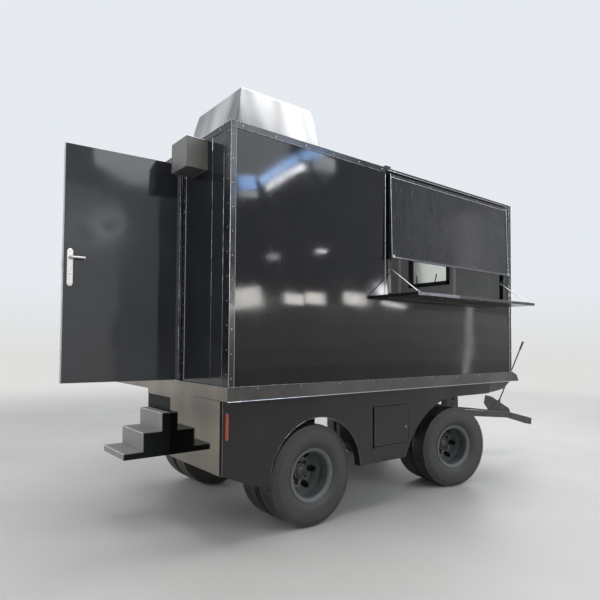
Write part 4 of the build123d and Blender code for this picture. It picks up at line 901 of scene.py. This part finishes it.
lining.box((FLUE_X, -inner_y, ceiling - SHEET), (inner_x1, inner_y, ceiling), "lining")
lining.box((inner_x0, FLUE_Y, ceiling - SHEET), (FLUE_X, inner_y, ceiling), "lining")
lining.box((inner_x0, -inner_y, FLOOR_Z), (inner_x1, inner_y, FLOOR_Z + 0.002), "floor_sheet")
for x in (1.25, 2.47, 3.3):
    lining.box((x - 0.018, inner_y - 0.005, FLOOR_Z), (x + 0.018, inner_y, ceiling), "lining_trim")
# rows: low and high y of a joint strip on the front wall, its thickness, finish
for y0, y1, thick, mat in (
    (-0.48, -0.436, 0.006, "lining_trim"), (0.436, 0.48, 0.006, "lining_trim"),
    (-0.94, -0.934, 0.004, "white_edge"),
):
    lining.box((inner_x1 - thick, y0, FLOOR_Z), (inner_x1, y1, ceiling), mat)
lining.piece("kitchen_lining", "trailer", "bare_aluminium")

# Cooking range: top sheet, fire doors with handles and knobs to the aisle, rims and lids of the pots
stove = Shape()
RANGE_X, RANGE_Y, RANGE_TOP = (0.12, 1.47), (-1.141, -0.525), 2.035
front = RANGE_Y[1]
handle_z = FLOOR_Z + 0.515
lid = [
    (0.056, 0.2035), (0.063, 0.2035), (0.066, 0.196), (0.08, 0.15), (0.088, 0.08), (0.09, 0.03),
    (0.108, 0.012), (0.112, 0.022), (0.122, 0.022), (0.126, 0.002),
]
low = (RANGE_X[0] + 0.004, RANGE_Y[0], RANGE_TOP)
high = (RANGE_X[1] - 0.004, front + 0.004, RANGE_TOP + 0.004)
stove.box(low, high, "brushed")
for i in range(3):
    door_x = RANGE_X[0] + 0.045 + 0.42 * i
    stove.box((door_x, front, FLOOR_Z + 0.11), (door_x + 0.38, front + 0.01, FLOOR_Z + 0.56), "brushed")
    grip = [(door_x + along, front + out, handle_z)
            for along, out in ((0.06, 0.008), (0.06, 0.04), (0.32, 0.04), (0.32, 0.008))]
    stove.tube(grip, 0.008, "steel")
    for off in (0.13, 0.25):
        knob = (door_x + off, front, FLOOR_Z + 0.665)
        stove.lathe([(0, 0.022), (0.016, 0.02), (0.018, 0.004)], knob, (0, 1, 0), "range_black", 20)
    pot = (0.345 + 0.45 * i, -0.835, RANGE_TOP)
    stove.lathe([(0.004, 0.222), (0.012, 0.222), (0.014, 0.205)], pot, (0, 0, 1), "steel", 48)
    stove.lathe(lid, pot, (0, 0, 1), "steel", 40)
stove.box((RANGE_X[0], front, FLOOR_Z + 0.605), (RANGE_X[1], front + 0.003, FLOOR_Z + 0.725), "range_black")
# the rolled rim of the hood over it
HOOD_X, HOOD_Y, HOOD_Z = (0.055, 0.975), (-1.145, -0.525), 2.896
for y, (x0, x1) in zip(HOOD_Y, (HOOD_X, HOOD_X[::-1])):
    stove.rod_x(x0, x1, y, HOOD_Z, 0.007, "steel", 10)
for x, (y0, y1) in zip(HOOD_X, (HOOD_Y[::-1], HOOD_Y)):
    stove.rod_y(x, y0, y1, HOOD_Z, 0.007, "steel", 10)
stove.piece("range_fittings", "trailer", "steel")

# Bench: rolled front edge and adjustable feet
bench = Shape()
bench.rod_x(1.801, 3.299, -0.586, 1.944, 0.009, "steel", 12)
for x in (1.82, 3.28):
    for y in (-1.125, -0.605):
        foot = (x, y, FLOOR_Z + 0.002)
        bench.lathe([(0, 0.026), (0.006, 0.026), (0.01, 0.016)], foot, (0, 0, 1), "rubber", 16)
bench.piece("bench_fittings", "trailer", "steel")


# Door: pale edges, inner sheet, seal, rivets and knuckles of the hinge, the knuckles in a painted sheen, lock
# plate in the free edge
KNUCKLES = 18
KNUCKLE_PITCH = 0.101


def knuckles(shape, first_z, length):
    """Every second sleeve of the door's full-height hinge, in a painted sheen that reads as a broken line of
    highlights.
    """
    sleeve = [(0, 0.007), (0, 0.0082), (length, 0.0082), (length, 0.007)]
    for i in range(KNUCKLES):
        shape.lathe(sleeve, (*DOOR_PIN, first_z + KNUCKLE_PITCH * i), (0, 0, 1), "edge_shine", 16)


door = Shape()
(d0, d1), (z0, z1) = DOOR_Y, DOOR_Z
door.box((DOOR_T - 0.001, d0 + 0.004, z0 + 0.004), (DOOR_T + 0.0015, d1 - 0.004, z1 - 0.004), "lining")
door.box((0.002, d1, z0), (DOOR_T, d1 + 0.002, z1), "bare_aluminium")
door.box((-0.0008, d1 - 0.006, z0), (0.004, d1 + 0.002, z1), "white_edge")
door.box((0.001, d0 + 0.002, z1), (DOOR_T, d1, z1 + 0.0015), "white_edge")
for low, high, foot, top in rim(d0 + 0.03, d1 - 0.03, z0 + 0.03, z1 - 0.03, 0.02):
    door.box((DOOR_T, low, foot), (DOOR_T + 0.006, high, top), "rubber")
for z in spaced(z0 + 0.05, z1 - 0.05, 0.1):
    door.rivet((0, d0 + 0.034, z), (-1, 0, 0), 0.0042, "dark_bolt")
knuckles(door, 1.256, 0.046)
door.box((0.008, d1 + 0.002, 2.06), (0.032, d1 + 0.0035, 2.24), "handle_steel")
door.box((0.014, d1 + 0.003, 2.12), (0.026, d1 + 0.0055, 2.165), "handle_steel")
door.piece("door_trim", "rear_door", "bare_aluminium")

# Door handle: lock plate with round ends, lever with a rounded grip, keyhole
handle = Shape()
PLATE_Y, PLATE_Z, PLATE_R, PLATE_REACH = 0.4625, 2.125, 0.0225, 0.1225
LEVER_Z, LEVER_END, LEVER_OUT = 2.2, 0.37, 0.04
OUTWARD = (-1, 0, 0)


def plate_ring(x, shrink):
    """The outline of the lock plate, drawn in by shrink."""
    radius = PLATE_R - shrink
    ends = ((1, 0), (-1, pi))
    turns = [(PLATE_Z + end * PLATE_REACH, start + pi * step / 8) for end, start in ends for step in range(9)]
    return [(x, PLATE_Y + radius * cos(t), mid_z + radius * sin(t)) for mid_z, t in turns]


outlines = [plate_ring(0.0, 0), plate_ring(-0.003, 0), plate_ring(-0.0055, 0.0028)]
handle.capped(outlines, "handle_steel", both=False)
collar = [(0.004, 0.0135), (0.012, 0.012), (0.028, 0.0098)]
handle.lathe(collar, (0, PLATE_Y, LEVER_Z), OUTWARD, "handle_steel")
grip = [
    (-0.022, PLATE_Y, LEVER_Z), (-0.034, PLATE_Y, LEVER_Z), (-0.0395, PLATE_Y - 0.006, LEVER_Z),
    (-LEVER_OUT, PLATE_Y - 0.02, LEVER_Z), (-LEVER_OUT, LEVER_END, LEVER_Z),
]
handle.tube(grip, 0.0088, "handle_steel", 16)
grip_end = [(0, 0.0088), (0.003, 0.0104), (0.009, 0.0104), (0.012, 0.006), (0.0125, 0.001)]
handle.lathe(grip_end, (-LEVER_OUT, LEVER_END + 0.0005, LEVER_Z), (0, -1, 0), "handle_steel", 16)
handle.lathe([(0.004, 0.0092), (0.0085, 0.0088), (0.009, 0.001)], (0, PLATE_Y, 2.075), OUTWARD, "steel", 20)
handle.box((-0.0096, PLATE_Y - 0.001, 2.0695), (-0.0088, PLATE_Y + 0.001, 2.0805), "rubber")
for z in (PLATE_Z + 0.128, PLATE_Z - 0.128):
    handle.rivet((-0.0052, PLATE_Y, z), OUTWARD, 0.0046, rise=0.4, count=12)
handle.piece("lock_and_lever", "rear_door", "steel", ["door_handle"])

# Rear wall: hinge leaf with its rivets, knuckles in a painted sheen and a painted highlight on its edge, seams
# with painted highlight lines, bracket at the door's head with a painted glint, doorway seal drawn as pale lines
# of painted sheen
rear = Shape()
LEAF_Y, LEAF_Z = (-0.477, -0.412), (1.251, 3.075)
SEAM_Y, SEAM_TOP = -0.927, 3.045
seal_y = DOORWAY_Y[1] + 0.008
rear.box((-0.0028, LEAF_Y[0], LEAF_Z[0]), (0, LEAF_Y[1], LEAF_Z[1]), "black_trim")
rear.rod_z(-0.0026, LEAF_Y[0], *LEAF_Z, 0.0022, "bright_edge")
for z in spaced(FLOOR_Z + 0.05, 3.05, 0.1):
    rear.rivet((-0.0028, -0.445, z), OUTWARD, 0.0042)
knuckles(rear, 1.3045, 0.05)
rear.rod_z(-0.003, SEAM_Y, SEAM_TOP, ROOF_Z - 0.05, 0.003, "bright_edge")
rear.rod_z(-0.001, SEAM_Y, FLOOR_Z + 0.01, SEAM_TOP, 0.0014, "edge_shine")
rear.rod((-0.012, -0.478, 3.0475), (-0.014, -0.424, 3.0405), 0.0045, "bright_edge", 10)
rear.rod_x(0.0, -0.014, -0.474, 3.047, 0.006, "bolt_steel", 10)
rear.rod_z(-0.001, seal_y, FLOOR_Z + 0.01, 3.083, 0.0026, "edge_shine")
rear.rod_y(-0.001, DOORWAY_Y[0] + 0.016, seal_y, 3.094, 0.0026, "edge_shine")
rear.box((0.002, DOORWAY_Y[0], FLOOR_Z), (WALL_T - 0.004, DOORWAY_Y[1], FLOOR_Z + 0.003), "bare_aluminium")
rear.piece("rear_wall_trim", "trailer", "black_trim")

# Rear panel: polished sheet over the rail and beside the stair, its dark warm tint a painted reflection, black
# kick plate above the stair
panel = Shape()
SHEET_X = (-0.0125, -0.0004)
PANEL_Y, PANEL_FOOT, KICK_Z = -1.102, 0.577, (0.946, 1.077)
s0, s1 = STAIR_Y
panel.box((SHEET_X[0], -rail_y + 0.001, rail_low), (-RAIL_OUT, rail_y - 0.001, FLOOR_Z - 0.005), "mirror")
panel.box((SHEET_X[0], PANEL_Y, PANEL_FOOT), (SHEET_X[1], s0 - 0.001, rail_low), "mirror")
panel.box((SHEET_X[0], s0 - 0.001, KICK_Z[1] + 0.001), (SHEET_X[1], s1, rail_low), "mirror")
panel.box((-0.0085, s0, KICK_Z[0]), (-0.006, s1, KICK_Z[1]), "stair_paint")
for z in spaced(0.62, 1.08, 0.15):
    panel.rivet((SHEET_X[0], -1.078, z), OUTWARD, 0.0042)
panel.piece("rear_sheet", "trailer", "steel")

# Stair: pale tread sheets with ribs, risers, rolled noses, pale lines of painted sheen on the ends of the treads
# and risers
stair = Shape()
# rows: tread top, its front and rear edge, foot of the riser under its nose
for top, front, back, foot in (
    (0.945, -0.082, 0.0, 0.793), (0.79, -0.246, -0.082, 0.638), (0.635, -0.41, -0.246, 0.587),
):
    stair.box((front - 0.002, s0 + 0.004, top), (back - 0.004, s1 - 0.004, top + 0.003), "tread_paint")
    stair.box((front - 0.0035, s0 + 0.004, foot), (front, s1 - 0.004, top + 0.001), "tread_paint")
    stair.rod_y(front - 0.001, s0 + 0.002, s1 - 0.002, top, 0.005, "white_edge", 10)
    for x in spaced(front + 0.018, back - 0.02, 0.017):
        stair.box((x - 0.002, s0 + 0.02, top + 0.003), (x + 0.002, s1 - 0.02, top + 0.0045), "tread_paint")
    for y in (s0, s1):
        stair.rod_x(front, back, y, top, 0.0028, "edge_shine")
        stair.rod_z(front, y, foot, top, 0.0024, "edge_shine")
stair.piece("stair_treads", "trailer", "stair_paint")

# Skirts: locks and rims of the locker doors, the rims pale lines of painted sheen, folded arch edges and the
# rear edge with lines of painted sheen, screws and bolts
LOCKER_X, LOCKER_Z = (1.622, 2.083), (0.607, 0.963)
LOCK_X, LOCK_Z = 2.052, 0.745
for side, label in ((-1, "right"), (1, "left")):
    locker = Shape()
    face_y = side * SKIRT_Y
    lock, out = (LOCK_X, face_y, LOCK_Z), (0, side, 0)
    locker.lathe([(0, 0.015), (0.003, 0.0145), (0.005, 0.0105), (0.0055, 0.001)], lock, out, "bolt_steel")
    locker.lathe([(0.0052, 0.006), (0.0066, 0.0055), (0.0068, 0.001)], lock, out, "rubber", 16)
    for x in LOCKER_X:
        locker.rod_z(x, face_y, *LOCKER_Z, 0.0012, "edge_shine", 6)
    for z in LOCKER_Z:
        locker.rod_x(*LOCKER_X, face_y, z, 0.0012, "edge_shine", 6)
    locker.piece(f"locker_lock_{label}", f"locker_{label}", "skirt_paint")

skirts = Shape()
# rows: side, place of the skirt's rear edge
for side, rear_x in ((-1, 0.0), (1, 0.37)):
    face_y = side * SKIRT_Y
    out = (0, side, 0)
    skirts.rod_z(rear_x + 0.001, face_y, PANEL_FOOT, rail_low, 0.0022, "edge_shine")
    turns = [pi * i / 40 for i in range(1, 40)]
    arch = [(AXLE_X[0] + ARCH_R * cos(t), face_y, TYRE_R + ARCH_R * sin(t)) for t in turns]
    skirts.tube([p for p in arch if p[2] > 0.457], 0.0022, "edge_shine")
    for z in (0.836, 1.034):
        skirts.rivet((rear_x + 0.037, face_y, z), out, 0.004)
    for x in (rear_x + 0.045, 1.5, 2.15):
        skirts.rivet((x, face_y, rail_low - 0.03), out, 0.005, "bolt_steel")
skirts.piece("skirt_edges", "trailer", "skirt_paint")

# Turntable: dark seal in the gap of the rings
ring = Shape()
seal = [(0.9658, 0.44), (0.9658, 0.446), (0.9705, 0.446), (0.9705, 0.44)]
ring.lathe(seal, (TURN_X, 0, 0), (0, 0, 1), "rubber", 72, closed=True)
ring.piece("turntable_seal", "trailer", "chassis_paint")


# Hitch of the drawbar: washers, pin heads and split pins; bolts of the spring hangers
def hanger_bolts(shape, axle, apart, z):
    """Two bolts on each face of the four hangers of an axle's springs."""
    for side in (-1, 1):
        for x in (AXLE_X[axle] - SPRING_HALF, AXLE_X[axle] + SPRING_HALF):
            for face in (-1, 1):
                for off in (-apart, apart):
                    shape.bolt((x + off, side * SPRING_Y[axle] + face * 0.047, z), (0, face, 0), 0.01)


hitch = Shape()
for side in (-1, 1):
    for face in (-1, 1):
        y = side * HITCH_Y + face * 0.0525
        washer = [(0, 0.03), (0.004, 0.03), (0.0042, 0.018)]
        hitch.lathe(washer, (HITCH_X, y, HITCH_Z), (0, face, 0), "bolt_steel", 28)
        hitch.rod_y(HITCH_X, y, y + face * 0.012, HITCH_Z, 0.0165, "bolt_steel", 24)
        hitch.rod_z(HITCH_X, y + face * 0.008, HITCH_Z - 0.026, HITCH_Z + 0.024, 0.0022, "rivet")
hanger_bolts(hitch, 1, 0.026, 0.905)
hitch.piece("hitch_pins", "steering_bogie", "chassis_paint")

hangers = Shape()
hanger_bolts(hangers, 0, 0.024, 0.955)
hangers.piece("hanger_bolts", "trailer", "chassis_paint")

# Drawbar: sleeve of the towing eye, weld beads, pale lines of painted sheen along its top edges, grip of the
# brake lever
draw = Shape()
TONGUE_X, TONGUE_L, TONGUE_DIP, EYE_IN = 5.158, 0.465, 8.4, 0.07
EDGE_Z = HITCH_Z + 0.04
eye_x = TONGUE_X + TONGUE_L * cos(radians(TONGUE_DIP)) - EYE_IN
eye_mid = HITCH_Z - (TONGUE_L - EYE_IN) * sin(radians(TONGUE_DIP))
eye_sleeve = [(-0.03, 0.0252), (0.004, 0.0255), (0.004, 0.036), (-0.001, 0.038)]
for face in (-1, 1):
    lip = (eye_x, 0, eye_mid + face * 0.045)
    draw.lathe(eye_sleeve, lip, (0, 0, face), "bolt_steel", 32, turn=turned(lip, (0, 1, 0), TONGUE_DIP))
for side in (-1, 1):
    bead = [(TURN_X + along, side * 0.0075, HITCH_Z + 0.013) for along in (1.64, 1.94)]
    draw.tube(bead, 0.0032, "chassis_paint")
    # rows: the sheen line's y at its two ends, radius
    for y0, y1, radius in ((HITCH_Y + 0.03, 0.08, 0.0026), (HITCH_Y - 0.03, 0.02, 0.0022)):
        start, end = (TURN_X + 0.7, side * y0, EDGE_Z), (TURN_X + 1.85, side * y1, EDGE_Z)
        draw.rod(start, end, radius, "edge_shine")
lever_foot = Vector((TURN_X + 1.799, 0.016, 0.856))
lever_way = Vector((sin(radians(23.7)), 0, cos(radians(23.7))))
tip = lever_foot + lever_way * 0.999
lever_grip = [
    (-0.004, 0.0092), (-0.002, 0.014), (0.01, 0.0146), (0.06, 0.0132), (0.11, 0.0146), (0.122, 0.0138),
    (0.127, 0.008), (0.128, 0.001),
]
draw.lathe(lever_grip, tip - lever_way * 0.122, lever_way, "rubber", 20)
for i in range(7):
    place = tip - lever_way * (0.104 - 0.013 * i)
    draw.lathe([(0, 0.0138), (0.003, 0.0152), (0.006, 0.0138)], place, lever_way, "rubber", 20)
draw.bolt(lever_foot + Vector((0, 0.01, -0.04)), (0, 1, 0), 0.0105)
boss = [(0, 0.017), (0.014, 0.015), (0.03, 0.0096)]
draw.lathe(boss, lever_foot + lever_way * 0.02, lever_way, "chassis_paint", 20)
draw.piece("drawbar_fittings", "towing_bar", "chassis_paint")


# Camera as in the photograph
HEADING = (0.6132, 0.7893, 0.0333)
ROLL = 0.428
camera_data = bpy.data.cameras.new("camera")
camera = bpy.data.objects.new("camera", camera_data)
bpy.context.collection.objects.link(camera)
forward = Vector(HEADING).normalized()
right = forward.cross(Vector((0, 0, 1))).normalized()
up = right.cross(forward)
rolled_right = right * cos(radians(ROLL)) + up * sin(radians(ROLL))
rolled_up = up * cos(radians(ROLL)) - right * sin(radians(ROLL))
turn = Matrix((rolled_right, rolled_up, -forward)).transposed().to_4x4()
camera.matrix_world = Matrix.Translation(origin + Vector((-1.931, -4.456, 1.567))) @ turn
camera_data.sensor_width = 36.0
camera_data.lens = 31.02
camera_data.shift_x = 0.00984
camera_data.shift_y = 0.04124
bpy.context.scene.camera = camera

# Floor and world; far from the trailer the floor passes into the pale backdrop
BACKDROP = (0.8, 0.8, 0.79, 1)
SKY = (0.86, 0.9, 0.95, 1)
PALE_LEVEL = 0.92
LIGHT_LEVEL = 0.5


def floor_material():
    mat, tree, shader = new_material("studio_floor")
    place = tree.place()
    stain = tree.noise(place, 0.6, 8.0)
    tree.feed(shader, {
        "Roughness": 0.55,
        "Base Color": tree.ramp(stain, (0.47, 0.46, 0.44), (0.54, 0.53, 0.51), 0.3, 0.7),
    })
    spread = tree.add("VectorMath", {0: place}, operation="LENGTH").outputs["Value"]
    far = tree.mapped(spread, 4.5, 15.0, interpolation_type="SMOOTHSTEP")
    backdrop = tree.add("Emission", {"Color": BACKDROP, "Strength": PALE_LEVEL}).outputs["Emission"]
    share = tree.math("MULTIPLY", far, tree.seen_rays())
    blend = tree.add("MixShader", {"Fac": share, 1: shader.outputs["BSDF"], 2: backdrop})
    tree.feed(tree.nodes["Material Output"], {"Surface": blend.outputs["Shader"]})
    return mat


finish["floor"] = floor_material()
floor_mesh = bpy.data.meshes.new("studio_floor")
floor_mesh.from_pydata(circle((0, 0, 0), (0, 0, 1), 60.0, 96), [], [tuple(range(96))])
floor_mesh.materials.append(finish["floor"])
floor_obj = bpy.data.objects.new("studio_floor", floor_mesh)
bpy.context.collection.objects.link(floor_obj)

world = bpy.data.worlds.new("world")
bpy.context.scene.world = world
tree = Tree(world)
place = tree.add("TexCoord", {}).outputs["Generated"]
height = tree.add("SeparateXYZ", {"Vector": place}).outputs["Z"]
sky = tree.add("Mix", {}, data_type="RGBA")
tree.feed(sky, {"A": BACKDROP, "B": SKY, "Factor": tree.mapped(height, -0.02, 0.1)})
tree.feed(tree.nodes["Background"], {
    "Color": sky.outputs["Result"],
    "Strength": tree.mapped(tree.seen_rays(), 0, 1, LIGHT_LEVEL, PALE_LEVEL),
})


# Lamps
def area(name, place, target, size, power, color=(1, 1, 1), roll=0.0):
    """An area lamp of size (width, height) in metres and power in watts."""
    data = bpy.data.lights.new(name, "AREA")
    data.shape = "RECTANGLE"
    data.size, data.size_y = size
    data.energy = power
    data.color = color
    lamp = bpy.data.objects.new(name, data)
    aim = Vector(target) - Vector(place)
    tilt = Matrix.Rotation(roll, 4, "Z")
    lamp.matrix_world = Matrix.Translation(place) @ aim.to_track_quat("-Z", "Y").to_matrix().to_4x4() @ tilt
    lamp.visible_camera = False
    bpy.context.collection.objects.link(lamp)


area("overhead", (0, -1, 8), (0, 0, 0), (9, 6), 560)
area("side_fill", (3, -14, 9), (0, 0, 1.5), (9, 3), 300, (0.94, 0.97, 1.0))
area("rear_fill", (-9, 3, 4), (-2, 0, 1.5), (5, 3), 220)
area("front_fill", (10, 4, 5), (2, 0, 1.5), (5, 4), 220)
area("kitchen", origin + Vector((2.4, 0.1, 3.1)), origin + Vector((2.4, 0.1, 1.2)), (2.2, 1.2), 4.5)

# Lamps that the gloss of the wall and flap mirrors as bands, on an upright plane beside the trailer.
# rows: name, (x, z) of both ends, height, colour, brightness
BAND_Y = -10.2
BLUE, WHITE, PALE = (0.32, 0.55, 1.0), (0.95, 0.97, 1.0), (1.0, 0.97, 0.92)
bands = [
    ("blue_1", (5.54, 5.98), (6.12, 6.12), 0.36, BLUE, 26),
    ("blue_2", (6.29, 6.18), (7.69, 7.11), 0.24, BLUE, 26),
    ("blue_3", (7.79, 7.19), (8.82, 7.62), 0.26, BLUE, 22),
    ("white_1", (5.54, 5.67), (6.17, 5.81), 0.2, WHITE, 10),
    ("white_2", (6.55, 6.05), (7.89, 6.95), 0.16, WHITE, 34),
    ("white_3", (8.16, 7.15), (9.17, 7.15), 0.4, WHITE, 8),
    ("band_a", (5.35, 2.63), (6.37, 2.76), 0.5, PALE, 22),
    ("band_c", (7.06, 2.8), (8.01, 2.8), 0.3, PALE, 22),
    ("band_d", (8.09, 2.87), (8.86, 2.87), 0.3, PALE, 22),
    ("band_e", (9.75, 3.0), (10.5, 3.0), 0.33, PALE, 22),
    ("band_f", (10.99, 3.4), (11.9, 3.4), 0.35, WHITE, 32),
    ("band_g", (11.19, 3.0), (12.65, 2.92), 0.14, PALE, 20),
    ("spot_1", (6.57, 3.98), (6.87, 3.98), 0.13, WHITE, 26),
    ("spot_2", (8.5, 4.41), (8.95, 4.41), 0.12, WHITE, 26),
    ("pillar", (16.4, 3.85), (16.85, 3.85), 7.1, PALE, 3.5),
    ("glow_1", (4.2, 2.5), (19.2, 2.5), 0.6, PALE, 0.55),
    ("glow_2", (4.2, 2.16), (19.2, 2.16), 1.3, PALE, 0.4),
    ("glow_3", (4.2, 1.8), (19.2, 1.8), 1.9, PALE, 0.25),
    ("doorway_1", (-1.1, 2.8), (0.8, 2.8), 5.2, PALE, 0.5),
    ("doorway_2", (-0.8, 2.8), (0.3, 2.8), 5.2, PALE, 0.5),
    ("door_glow", (-1.6, 5.35), (-0.8, 5.75), 0.4, WHITE, 8),
    ("door_spot_1", (0.37, 4.65), (0.67, 4.65), 0.24, WHITE, 60),
    ("door_spot_2", (-0.2, 4.36), (0.1, 4.36), 0.24, WHITE, 40),
]
for name, (xa, za), (xb, zb), height, color, bright in bands:
    length = Vector((xb - xa, zb - za)).length
    middle = Vector(((xa + xb) / 2, BAND_Y, (za + zb) / 2)) + origin
    slope = Vector((xb - xa, zb - za)).angle_signed(Vector((1, 0)))
    area(name, middle, middle + Vector((0, 1, 0)), (length, height), bright * pi * length * height, color, slope)

bpy.context.scene.view_settings.view_transform = "Standard"
